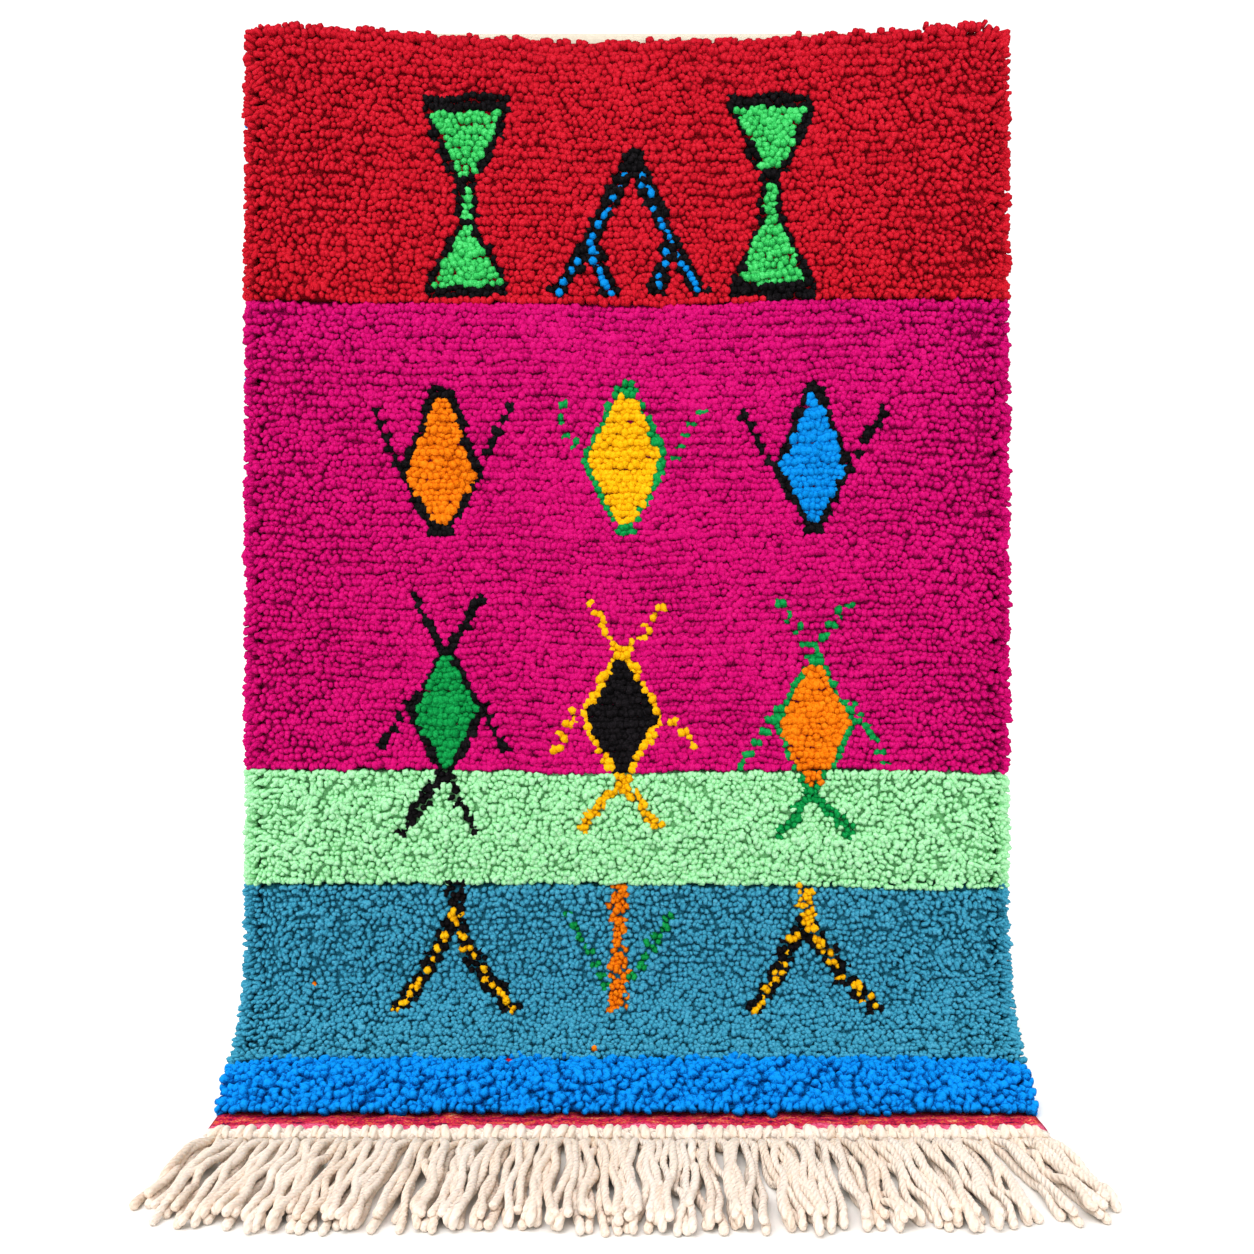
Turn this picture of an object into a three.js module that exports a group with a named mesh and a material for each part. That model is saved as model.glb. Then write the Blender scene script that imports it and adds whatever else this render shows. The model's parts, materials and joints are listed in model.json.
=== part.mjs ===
// A hand-knotted pile rug that hangs from its top edge. Its foot curves forward on to the
// floor, and its knotted fringe lies there. Millimetres, +Z up, pile towards -Y, floor at z = 0.
import * as THREE from 'three';
import { mergeVertices } from 'three/addons/utils/BufferGeometryUtils.js';

// Driving dimensions. Lengths down the rug start at the middle of the woven top edge.
const cloth = {
  halfWidth: 501,
  height: 1384,
  cornerRise: 4,
  bend: 140,
  floorLength: 42,
  thickness: 3,
  selvedge: { width: 6, slope: 3, thickness: 5, bevel: 1.2, shoulder: 1.5 },
  rows: { hung: 6, bend: 26, floor: 2 },
  colour: 0xd9c9ad,
};

// The pile, a band of yarn colour a row. Heights are those of the tufts above the weave.
const bands = [
  { name: 'pile_red', from: 20, to: 357, high: 21, highAtFoot: 21, colour: 0xc4142c },
  { name: 'pile_magenta', from: 357, to: 975, high: 20, highAtFoot: 20, colour: 0xcb0a72 },
  { name: 'pile_mint', from: 975, to: 1126, high: 21, highAtFoot: 21, colour: 0x9ce6a4 },
  { name: 'pile_teal', from: 1126, to: 1389, high: 20, highAtFoot: 38, colour: 0x3486a6 },
  { name: 'pile_blue', from: 1389, to: 1452, high: 40, highAtFoot: 40, colour: 0x0a86e0 },
];
const pile = {
  halfWidth: 498,
  rootHalfWidth: 489.5,
  sideHeight: 0.82,
  endHeight: 0.74,
  rimHeight: 0.6,
  cornerRise: 24,
  crowdsBefore: 95,
  crowdsAfter: 90,
  rowPitch: 20,
  columns: 40,
  rootColumns: 4,
  shift: 0.25,
  lump: 5.5,
  furrow: 3,
  gap: 0.3,
};

// A lock's widths, stray and lean are shares of the pitch, and its lift one of the pile's height.
const lock = {
  length: 13,
  unevenLength: 0.3,
  sunk: 7,
  sidePitch: 24,
  endPitch: 26,
  rootWidth: 0.6,
  tipWidth: 0.34,
  stray: 0.1,
  lean: 0.16,
  lift: 0.2,
};

// The heading of knots and the plied strands that leave it, three to a knot.
const fringe = {
  halfWidth: 485,
  knots: 34,
  strandsPerKnot: 3,
  depth: 21,
  barHeight: 8,
  knotHeight: 13,
  knotBulge: 5,
  rearHeight: 0.5,
  ridgePlace: 0.45,
  strandHalfWidth: 3.5,
  strandHeight: 7.6,
  bevel: 0.7,
  tipScale: 0.75,
  spread: 0.02,
  reach: 224,
  middleReach: 42,
  unevenReach: 12,
  steps: 5,
  wave: 5,
  waveGrowsTo: 0.4,
  waveLength: 135,
  neighbourLag: 55,
  lagSwing: { size: 0.9, over: 120 },
  colour: 0xeadfcb,
};

const hungLength = cloth.height - cloth.bend;
const bendLength = cloth.bend * Math.PI / 2;

const lerp = THREE.MathUtils.lerp;
const smoothstep = THREE.MathUtils.smoothstep;

// A repeatable number from -1 to 1 for a numbered place.
function uneven(number) {
  const wide = Math.sin(number * 12.9898 + 4.1414) * 43758.5453;
  return (wide - Math.floor(wide)) * 2 - 1;
}

// A point of the rug: across it, down its length, and out from its back towards the face.
function onRug(across, down, out) {
  if (down <= hungLength) {
    return new THREE.Vector3(across, -out, cloth.height - down);
  }
  if (down >= hungLength + bendLength) {
    const forward = cloth.bend + down - hungLength - bendLength;
    return new THREE.Vector3(across, -forward, out);
  }
  const turn = (down - hungLength) / cloth.bend;
  const radius = cloth.bend - out;
  return new THREE.Vector3(
    across,
    radius * Math.cos(turn) - cloth.bend,
    cloth.bend - radius * Math.sin(turn),
  );
}

// Triangles between two lines of points whose ends match, even where one has more points.
// They face whoever sees the first line above the second, with both running to the right.
function strip(first, second) {
  const corners = [];
  let i = 0;
  let j = 0;
  while (i < first.length - 1 || j < second.length - 1) {
    const nextFirst = (i + 1) / (first.length - 1);
    const nextSecond = (j + 1) / (second.length - 1);
    const step = i < first.length - 1 && nextFirst <= nextSecond + 1e-9;
    const triangle = step
      ? [first[i + 1], first[i], second[j]]
      : [second[j], second[j + 1], first[i]];
    i += step ? 1 : 0;
    j += step ? 0 : 1;
    const [a, b, c] = triangle;
    if (!a.equals(b) && !b.equals(c) && !c.equals(a)) {
      corners.push(a, b, c);
    }
  }
  return corners;
}

function patch(rows) {
  return rows.slice(1).flatMap((row, i) => strip(rows[i], row));
}

// A closed body between a face and a back, whose rows run down and columns to the right.
// Where a rim is given, that edge of the body runs out to the line of points of the rim.
function closedBody(face, back, rims = {}) {
  const left = rows => rows.map(row => row[0]);
  const right = rows => rows.map(row => row.at(-1));
  const wall = (first, rim, second) => (
    rim ? [...strip(first, rim), ...strip(rim, second)] : strip(first, second)
  );
  return welded([
    ...patch(face),
    ...patch([...back].reverse()),
    ...wall(left(face), rims.left, left(back)),
    ...wall(right(back), rims.right, right(face)),
    ...wall(back[0], rims.top, face[0]),
    ...wall(face.at(-1), rims.foot, back.at(-1)),
  ]);
}

function welded(corners) {
  return mergeVertices(new THREE.BufferGeometry().setFromPoints(corners), 1e-4);
}

function named(name, geometry, colour) {
  geometry.computeVertexNormals();
  const material = new THREE.MeshStandardMaterial({ color: colour, roughness: 0.95, metalness: 0 });
  const mesh = new THREE.Mesh(geometry, material);
  mesh.name = name;
  return mesh;
}

// The woven foundation: one flat cloth, thicker along its two selvedges, whose end past the
// pile lies flat on the floor.
function groundWeave() {
  const edge = cloth.selvedge;
  const inner = cloth.halfWidth - edge.width;
  const rightHalf = [
    { across: inner - edge.slope, out: cloth.thickness },
    { across: inner, out: edge.thickness },
    { across: cloth.halfWidth - edge.shoulder, out: edge.thickness },
    { across: cloth.halfWidth, out: edge.thickness - edge.bevel },
    { across: cloth.halfWidth, out: edge.bevel },
  ];
  const leftHalf = rightHalf.map(at => ({ across: -at.across, out: at.out })).reverse();
  const sections = [...leftHalf, { across: 0, out: cloth.thickness }, ...rightHalf];
  const backs = [-cloth.halfWidth + edge.bevel, 0, cloth.halfWidth - edge.bevel];
  const downs = [0];
  for (let i = 1; i <= cloth.rows.hung; i += 1) {
    downs.push(hungLength * i / cloth.rows.hung);
  }
  for (let i = 1; i <= cloth.rows.bend; i += 1) {
    downs.push(hungLength + bendLength * i / cloth.rows.bend);
  }
  for (let i = 1; i <= cloth.rows.floor; i += 1) {
    downs.push(hungLength + bendLength + cloth.floorLength * i / cloth.rows.floor);
  }
  const rise = across => cloth.cornerRise * (across / cloth.halfWidth) ** 2;
  const place = (across, down, out) => {
    const lifted = down - rise(across) * (1 - smoothstep(down, 0, pile.rowPitch));
    return onRug(across, lifted, out);
  };
  const face = downs.map(down => sections.map(at => place(at.across, down, at.out)));
  const back = downs.map(down => backs.map(across => place(across, down, 0)));
  return named('ground_weave', closedBody(face, back), cloth.colour);
}

// Height of the tufts of a band at a place down the rug. They crowd where the rug bends.
function tuftHeight(band, down) {
  const crowd = smoothstep(down, hungLength - pile.crowdsBefore, hungLength + pile.crowdsAfter);
  return lerp(band.high, band.highAtFoot, crowd);
}

// A place between the first and last row of a band. The first row of the rug sags between
// its corners, as the top edge does.
function alongBand(band, share, across) {
  const isTop = band === bands[0];
  const rise = isTop ? pile.cornerRise * Math.min(1, Math.abs(across) / pile.halfWidth) ** 2 : 0;
  const half = pile.gap / 2;
  return lerp(band.from - rise + half, band.to - half, share);
}

// The rim of a band along one edge of the rug: blunt locks of yarn that stick out of it.
// Each lock has two points at its root and two at its tip.
function lockedRim(count, seed, place, ends) {
  const points = [ends[0]];
  for (let i = 0; i < count; i += 1) {
    const number = seed + 7 * i;
    const centre = (i + 0.5 + lock.stray * uneven(number)) / count;
    const lean = lock.lean * uneven(number + 1) / count;
    const root = lock.rootWidth / 2 / count;
    const tip = lock.tipWidth / 2 / count;
    const out = lock.length * (1 + lock.unevenLength * uneven(number + 2));
    const lift = lock.lift * uneven(number + 3);
    points.push(place(centre - root, 0, 0));
    points.push(place(centre + lean - tip, out, lift));
    points.push(place(centre + lean + tip, out, lift));
    points.push(place(centre + root, 0, 0));
  }
  points.push(ends[1]);
  return points;
}

// Rim height is a share of the tufts' height, and locks lift or droop about it.
function rimOut(band, down, lift) {
  return cloth.thickness + pile.gap + tuftHeight(band, down) * (pile.rimHeight + lift);
}

function sideRim(band, side, seed, ends) {
  const count = Math.max(2, Math.round((band.to - band.from) / lock.sidePitch));
  const place = (share, out, lift) => {
    const across = side * (pile.halfWidth - lock.sunk + out);
    const down = alongBand(band, share, pile.halfWidth);
    return onRug(across, down, rimOut(band, down, lift));
  };
  return lockedRim(count, seed, place, ends);
}

function endRim(band, atFoot, seed, ends) {
  const count = Math.round(2 * pile.halfWidth / lock.endPitch);
  const place = (share, out, lift) => {
    const across = lerp(-pile.halfWidth, pile.halfWidth, share);
    const down = alongBand(band, atFoot ? 1 : 0, across);
    const reach = out - (out > 0 ? lock.sunk : 0);
    const away = new THREE.Vector3(0, atFoot ? -reach : 0, atFoot ? 0 : reach);
    return onRug(across, down, rimOut(band, down, lift)).add(away);
  };
  return lockedRim(count, seed, place, ends);
}

// The face of a band: rows of tufts stand high and low in turn, and no two alike.
function pileFace(band, rows, seed) {
  const face = [];
  for (let i = 0; i <= rows; i += 1) {
    const atEnd = i === 0 || i === rows;
    const row = [];
    for (let j = 0; j <= pile.columns; j += 1) {
      const number = seed + i * (pile.columns + 1) + j;
      const atSide = j === 0 || j === pile.columns;
      const shift = atSide || atEnd ? 0 : pile.shift;
      const side = (j + shift * uneven(number + 0.2)) / pile.columns * 2 - 1;
      const across = side * (pile.halfWidth - lock.sunk);
      const down = alongBand(band, (i + shift * uneven(number + 0.6)) / rows, across);
      const furrow = i % 2 === 0 ? -pile.furrow : pile.furrow;
      const lump = pile.lump * uneven(number) + furrow;
      const high = tuftHeight(band, down);
      const rounded = high * (atEnd ? pile.endHeight : pile.sideHeight);
      const out = atEnd || atSide ? rounded : high + lump;
      row.push(onRug(across, down, cloth.thickness + pile.gap + out));
    }
    face.push(row);
  }
  return face;
}

function pileBack(band, rows) {
  const back = [];
  for (let i = 0; i <= rows; i += 1) {
    const row = [];
    for (let j = 0; j <= pile.rootColumns; j += 1) {
      const across = lerp(-pile.rootHalfWidth, pile.rootHalfWidth, j / pile.rootColumns);
      const down = alongBand(band, i / rows, across);
      row.push(onRug(across, down, cloth.thickness + pile.gap));
    }
    back.push(row);
  }
  return back;
}

// One band of pile: a lumpy slab, with locks where its rim is also the edge of the rug.
function pileBand(band, bandNumber) {
  const rows = Math.round((band.to - band.from) / pile.rowPitch);
  const seed = 1000 * (bandNumber + 1);
  const face = pileFace(band, rows, seed);
  const [first, last] = [face[0], face.at(-1)];
  const rims = {
    left: sideRim(band, -1, seed + 200, [first[0], last[0]]),
    right: sideRim(band, 1, seed + 400, [first.at(-1), last.at(-1)]),
  };
  if (band === bands[0]) {
    rims.top = endRim(band, false, seed + 600, [first[0], first.at(-1)]);
  }
  if (band === bands.at(-1)) {
    rims.foot = endRim(band, true, seed + 800, [last[0], last.at(-1)]);
  }
  return named(band.name, closedBody(face, pileBack(band, rows), rims), band.colour);
}

// The four-sided sections of one strand, from its knot to its tip. It leaves the knot,
// runs forward level on the floor in slow waves, and has no two strands touching.
function strandSections(number, root) {
  const share = root.across / fringe.halfWidth;
  const reach = fringe.reach + fringe.middleReach * (1 - share ** 2)
    + fringe.unevenReach * uneven(number);
  const phase = root.across / fringe.neighbourLag
    + fringe.lagSwing.size * Math.sin(root.across / fringe.lagSwing.over);
  const sections = [];
  for (let i = 0; i <= fringe.steps; i += 1) {
    const along = i / fringe.steps;
    const forward = root.forward + reach * along;
    const turn = forward / fringe.waveLength * 2 * Math.PI + phase;
    const wave = fringe.wave * Math.sin(turn) * smoothstep(along, 0, fringe.waveGrowsTo);
    const across = root.across * (1 + fringe.spread * along) + wave;
    const scale = i === fringe.steps ? fringe.tipScale : 1;
    const wide = fringe.strandHalfWidth * scale;
    const high = fringe.strandHeight * scale;
    sections.push({
      top: [
        new THREE.Vector3(across - wide * fringe.bevel, -forward, high),
        new THREE.Vector3(across + wide * fringe.bevel, -forward, high),
      ],
      under: [
        new THREE.Vector3(across - wide, -forward, 0),
        new THREE.Vector3(across + wide, -forward, 0),
      ],
    });
  }
  return sections;
}

function strandWalls(sections) {
  const walls = [];
  for (let i = 1; i < sections.length; i += 1) {
    const [near, far] = [sections[i - 1], sections[i]];
    walls.push(
      ...strip(near.top, far.top),
      ...strip(far.under, near.under),
      ...strip([near.top[0], far.top[0]], [near.under[0], far.under[0]]),
      ...strip([far.top[1], near.top[1]], [far.under[1], near.under[1]]),
    );
  }
  return [...walls, ...strip(sections.at(-1).top, sections.at(-1).under)];
}

// The heading is a low bar with a rise at each knot, flat under. The strands grow out of
// its front, so bar and strands are one body.
function knottedFringe() {
  const start = cloth.bend + cloth.floorLength + pile.gap;
  const front = start + fringe.depth;
  const count = fringe.knots * fringe.strandsPerKnot;
  const pitch = 2 * fringe.halfWidth / count;
  const strands = [];
  for (let i = 0; i < count; i += 1) {
    const isMiddle = i % fringe.strandsPerKnot === 1;
    strands.push(strandSections(i, {
      across: -fringe.halfWidth + pitch * (i + 0.5),
      forward: front + (isMiddle ? fringe.knotBulge : 0),
    }));
  }
  const rear = [];
  const ridge = [];
  const rearUnder = [];
  for (let i = 0; i <= fringe.knots * 2; i += 1) {
    const across = lerp(-fringe.halfWidth, fringe.halfWidth, i / (fringe.knots * 2));
    const high = i % 2 === 1 ? fringe.knotHeight + uneven(i) : fringe.barHeight;
    rear.push(new THREE.Vector3(across, -start, high * fringe.rearHeight));
    ridge.push(new THREE.Vector3(across, -lerp(start, front, fringe.ridgePlace), high));
    rearUnder.push(new THREE.Vector3(across, -start, 0));
  }
  const frontTop = strands.flatMap(sections => sections[0].top);
  const frontUnder = strands.flatMap(sections => sections[0].under);
  const walls = [
    ...strip(rear, ridge),
    ...strip(ridge, frontTop),
    ...strip(frontUnder, rearUnder),
    ...strip(rearUnder, rear),
    ...strip([rear[0], ridge[0], frontTop[0]], [rearUnder[0], frontUnder[0]]),
    ...strip([frontTop.at(-1), ridge.at(-1), rear.at(-1)], [frontUnder.at(-1), rearUnder.at(-1)]),
    ...strands.flatMap(strandWalls),
  ];
  for (let i = 1; i < frontTop.length - 1; i += 2) {
    walls.push(...strip([frontTop[i], frontTop[i + 1]], [frontUnder[i], frontUnder[i + 1]]));
  }
  return named('fringe', welded(walls), fringe.colour);
}

const rug = new THREE.Group();
rug.add(groundWeave());
bands.forEach((band, number) => rug.add(pileBand(band, number)));
rug.add(knottedFringe());

// The origin is on the floor, under the middle of the whole rug.
const middle = new THREE.Box3().setFromObject(rug).getCenter(new THREE.Vector3());
rug.position.set(-middle.x, -middle.y, 0);
const group = new THREE.Group();
group.add(rug);

export default group;
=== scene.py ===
"""A hand-knotted pile rug that hangs from its top edge, with its foot and fringe on the floor.

The cloth hangs, bends forward near the floor and lies flat at its end. Rows of tufts in five
bands of yarn colour cover it, and symbols are knotted into them in other yarns. Places on the
rug are given across it from its middle, down it from its top edge, and out from its back, in
millimetres. Blender's own unit is the metre, and +Z is up.
"""

import json
import logging
import math
from collections.abc import Iterable, Mapping
from dataclasses import dataclass, field
from enum import Enum

import bmesh
import bpy
import numpy as np
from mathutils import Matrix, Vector

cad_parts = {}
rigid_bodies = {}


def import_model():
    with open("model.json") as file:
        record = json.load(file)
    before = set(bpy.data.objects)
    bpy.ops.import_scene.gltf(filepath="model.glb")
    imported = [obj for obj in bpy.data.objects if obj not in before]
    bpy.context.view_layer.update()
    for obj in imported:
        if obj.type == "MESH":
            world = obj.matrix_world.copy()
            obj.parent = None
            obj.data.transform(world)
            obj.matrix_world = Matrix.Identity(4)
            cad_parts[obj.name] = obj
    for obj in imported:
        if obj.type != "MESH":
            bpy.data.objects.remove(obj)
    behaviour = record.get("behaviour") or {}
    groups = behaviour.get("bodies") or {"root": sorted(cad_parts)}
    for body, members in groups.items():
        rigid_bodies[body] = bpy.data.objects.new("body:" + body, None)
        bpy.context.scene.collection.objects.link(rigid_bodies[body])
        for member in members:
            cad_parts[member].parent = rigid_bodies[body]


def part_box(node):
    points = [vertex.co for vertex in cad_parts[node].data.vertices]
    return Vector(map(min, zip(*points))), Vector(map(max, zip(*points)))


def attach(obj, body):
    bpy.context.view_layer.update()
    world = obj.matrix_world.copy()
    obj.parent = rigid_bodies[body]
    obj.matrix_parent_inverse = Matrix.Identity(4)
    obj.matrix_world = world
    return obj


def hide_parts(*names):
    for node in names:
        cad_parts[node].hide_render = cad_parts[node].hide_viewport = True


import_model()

LOG = logging.getLogger("rug")
MM = 0.001

Pair = tuple[float, float]
Row = tuple[float, float, float]
Numbers = np.ndarray
Path = tuple[Numbers, Numbers, Numbers]
Socket = bpy.types.NodeSocket
Tree = bpy.types.NodeTree


def linear(colour: str) -> tuple[float, float, float, float]:
    """Turn an sRGB hex colour into the linear values that shaders use.

    Args:
        colour: Six hex digits, such as "c4142c".

    Returns:
        Linear red, green and blue from 0 to 1, and an alpha of 1.
    """
    shown = [int(colour[i : i + 2], 16) / 255 for i in (0, 2, 4)]
    red, green, blue = (
        value / 12.92 if value <= 0.04045 else ((value + 0.055) / 1.055) ** 2.4 for value in shown
    )
    return red, green, blue, 1.0


def node(tree: Tree, kind: str, inputs: Mapping | None = None, **settings: object) -> bpy.types.Node:
    """Add a node to a tree, set it up and fill its inputs.

    Args:
        tree: The tree that gets the node.
        kind: The node's type name.
        inputs: Values or other nodes' output sockets, by the name or number of the input.
        **settings: Properties of the node.

    Returns:
        The new node.
    """
    made = tree.nodes.new(kind)
    for name, value in settings.items():
        setattr(made, name, value)
    for name, value in (inputs or {}).items():
        if isinstance(value, Socket):
            tree.links.new(value, made.inputs[name])
        else:
            made.inputs[name].default_value = value
    return made


def smooth_step(value: Numbers, low: float, high: float) -> Numbers:
    """Go from 0 to 1 between two values, with soft ends.

    Args:
        value: Where to look.
        low: Up to here the result is 0.
        high: From here on the result is 1.

    Returns:
        The share from 0 to 1 for each value.
    """
    share = np.clip((value - low) / (high - low), 0, 1)
    return share * share * (3 - 2 * share)


def wander(across: Numbers, down: Numbers, length: float, seed: int) -> Numbers:
    """Give a smooth uneven field over the rug, such as hand work has.

    Args:
        across: Places across the rug.
        down: Places down the rug.
        length: The usual distance from one rise to the next, in millimetres.
        seed: Which of all such fields.

    Returns:
        The field's value at each place, mostly from -1.5 to 1.5.
    """
    random = np.random.default_rng(seed)
    waves = 9
    total = np.zeros(np.broadcast(across, down).shape)
    for _ in range(waves):
        turn, phase = random.uniform(0, math.tau, 2)
        scale = math.tau / (length * random.uniform(0.7, 1.6))
        total += np.sin((across * math.cos(turn) + down * math.sin(turn)) * scale + phase)
    return total / math.sqrt(waves / 2)


def grid(*axes: Iterable[float]) -> tuple[Numbers, ...]:
    """List every mix of the axes' values, those of the last axis changing first."""
    return tuple(part.ravel() for part in np.meshgrid(*axes, indexing="ij"))


def read_all(items: bpy.types.bpy_prop_collection, name: str, size: int, kind: type = float) -> Numbers:
    """Read a property of many items.

    Args:
        items: The items, such as a mesh's vertices.
        name: The property's name.
        size: How many numbers it has.
        kind: The type of the numbers.

    Returns:
        An array with a row for each item, or of one number for each where the size is 1.
    """
    values = np.empty(len(items) * size, kind)
    items.foreach_get(name, values)
    return values if size == 1 else values.reshape(-1, size)


def set_values(mesh: bpy.types.Mesh, name: str, values: Iterable[float]) -> None:
    """Give each vertex of a mesh a value, which its finish reads by name."""
    mesh.attributes.new(name, "FLOAT", "POINT").data.foreach_set("value", values)


def set_map(mesh: bpy.types.Mesh, name: str, places: Numbers) -> None:
    """Give a mesh a map, with the place of each corner of its faces as a row."""
    mesh.uv_layers.new(name=name).uv.foreach_set("vector", places.ravel())


def to_mesh(bm: bmesh.types.BMesh, mesh: bpy.types.Mesh) -> bpy.types.Mesh:
    """Write what was modelled into a mesh, smooth all over.

    Args:
        bm: What was modelled, which is let go of.
        mesh: The mesh that gets it.

    Returns:
        The same mesh.
    """
    for face in bm.faces:
        face.smooth = True
    bm.to_mesh(mesh)
    bm.free()
    return mesh


def new_object(name: str, data: bpy.types.ID) -> bpy.types.Object:
    """Put a mesh or other data into the scene.

    Args:
        name: The object's name.
        data: Its mesh, curve, camera or lamp.

    Returns:
        The object, at the origin.
    """
    made = bpy.data.objects.new(name, data)
    bpy.context.scene.collection.objects.link(made)
    return made


def as_mesh(obj: bpy.types.Object, name: str) -> bpy.types.Mesh:
    """Turn what an object shows, modifiers and all, into one mesh, and delete the object.

    Args:
        obj: A mesh with modifiers, or a curve.
        name: The new mesh's name.

    Returns:
        The finished mesh.
    """
    graph = bpy.context.evaluated_depsgraph_get()
    shown = obj.evaluated_get(graph)
    mesh = bpy.data.meshes.new_from_object(shown, preserve_all_data_layers=True, depsgraph=graph)
    mesh.name = name
    bpy.data.objects.remove(obj)
    return mesh


def join_rug(piece: bpy.types.Object, nodes: Iterable[str]) -> bpy.types.Object:
    """Make a piece part of the rug: it rides on the one body and stands for its solids.

    Args:
        piece: The finished piece.
        nodes: The solids that it replaces.

    Returns:
        The same piece.
    """
    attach(piece, "root")
    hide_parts(*nodes)
    LOG.info("%s: %d faces", piece.name, len(piece.data.polygons))
    return piece


class Yarn(Enum):
    """The yarns that tufts are tied in, by the record's material slot for each."""

    RED = "pile_red"
    MAGENTA = "pile_magenta"
    MINT = "pile_mint"
    TEAL = "pile_teal"
    BLUE = "pile_blue"
    BLACK = "yarn_black"
    LIGHT_GREEN = "yarn_light_green"
    EMERALD = "yarn_emerald"
    ORANGE = "yarn_orange"
    GOLD = "yarn_gold"
    AZURE = "yarn_azure"

    @property
    def number(self) -> int:
        """The yarn's place in the list, which arrays hold."""
        return list(Yarn).index(self)


@dataclass(frozen=True)
class RugShape:
    """The surface that the cloth follows: hung, then bent forward, then flat on the floor."""

    centre: float
    back: float
    height: float = 1384.0
    bend: float = 140.0
    half_width: float = 498.0
    thickness: float = 3.0
    corner_rise: float = 2.0
    end: float = 1527.0

    @property
    def hung(self) -> float:
        """How far down the cloth starts to bend."""
        return self.height - self.bend

    def place(self, across: Numbers, down: Numbers, out: Numbers) -> Numbers:
        """Find places on the rug in the frame's metres.

        Args:
            across: Across the rug from its middle, in millimetres.
            down: Down the rug from its top edge, in millimetres.
            out: Out from its back, in millimetres.

        Returns:
            An array whose rows are x, y and z in metres.
        """
        return self.standing(across, *self.profile(down, out))

    def facing(self, across: Numbers, down: Numbers, out: Numbers) -> Numbers:
        """Find which way is out of the rug at places on it, as arrows 1 long."""
        return (self.place(across, down, out + 1) - self.place(across, down, out)) / MM

    def profile(self, down: Numbers, out: Numbers | float) -> tuple[Numbers, Numbers]:
        """Find where places are, seen from the side.

        Args:
            down: Down the rug from its top edge.
            out: Out from its back.

        Returns:
            How far forward of the rug's back and above the floor they are.
        """
        turn = np.clip((down - self.hung) / self.bend, 0, math.pi / 2)
        past = np.maximum(down - self.hung - self.bend * math.pi / 2, 0)
        radius = self.bend - out
        forward = self.bend - radius * np.cos(turn) + past
        up = self.bend - radius * np.sin(turn) + np.maximum(self.hung - down, 0)
        return forward, up

    def standing(self, across: Numbers, forward: Numbers, up: Numbers) -> Numbers:
        """Turn places across, forward of the rug's back and above the floor into metres."""
        places = np.broadcast_arrays(self.centre + across, self.back - forward, up)
        return np.stack(places, axis=-1) * MM


@dataclass(frozen=True)
class Figure:
    """A filled symbol with an edging in another yarn, alike left and right of its middle.

    Each row of its table is how far down the rug it is and its half widths, filling and edging.
    """

    across: float
    fill: Yarn
    edge: Yarn
    table: tuple[Row, ...]

    def tie(self, across: Numbers, down: Numbers, yarns: Numbers) -> None:
        """Change the yarn of each knot that lies in the symbol.

        Args:
            across: Where the knots are across the rug.
            down: Where they are down it.
            yarns: Their yarn numbers, which this changes.
        """
        downs, fills, edges = np.array(self.table).T
        inside = (down >= downs[0]) & (down <= downs[-1])
        away = np.abs(across - self.across)
        yarns[inside & (away < np.interp(down, downs, edges))] = self.edge.number
        yarns[inside & (away < np.interp(down, downs, fills))] = self.fill.number


@dataclass(frozen=True)
class Stroke:
    """A line of knots from one place to another, with a core of single knots where it has one."""

    yarn: Yarn
    start: tuple[float, float]
    end: tuple[float, float]
    half_width: float = 6.5
    core: Yarn | None = None
    core_half_width: float = 5.5
    core_pitch: float = 15.4
    core_gap: float = 0.36

    def tie(self, across: Numbers, down: Numbers, yarns: Numbers) -> None:
        """Change the yarn of each knot that lies on the line, and then of those in its core.

        Args:
            across: Where the knots are across the rug.
            down: Where they are down it.
            yarns: Their yarn numbers, which this changes.
        """
        run = np.subtract(self.end, self.start)
        length = float(np.hypot(*run))
        along = ((across - self.start[0]) * run[0] + (down - self.start[1]) * run[1]) / length
        beside = ((across - self.start[0]) * run[1] - (down - self.start[1]) * run[0]) / length
        on_line = (along > -self.half_width / 2) & (along < length + self.half_width / 2)
        yarns[on_line & (np.abs(beside) < self.half_width)] = self.yarn.number
        if self.core is not None:
            step = (along / self.core_pitch) % 1.0
            in_core = on_line & (np.abs(beside) < self.core_half_width) & (step > self.core_gap)
            yarns[in_core] = self.core.number


@dataclass(frozen=True)
class Dots:
    """Small groups of tufts in a row, from one place to another."""

    yarn: Yarn
    start: tuple[float, float]
    end: tuple[float, float]
    count: int
    tips: int = 2
    near: float = 12.0

    def tie(self, across: Numbers, down: Numbers, yarns: Numbers) -> None:
        """Change the yarn of the few tufts nearest to each dot.

        Args:
            across: Where the knots are across the rug.
            down: Where they are down it.
            yarns: Their yarn numbers, which this changes.
        """
        for share in np.linspace(0, 1, self.count):
            dot = np.add(self.start, np.subtract(self.end, self.start) * share)
            away = np.hypot(across - dot[0], down - dot[1])
            if away.min() < self.near:
                yarns[np.argsort(away)[: self.tips]] = self.yarn.number


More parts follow.
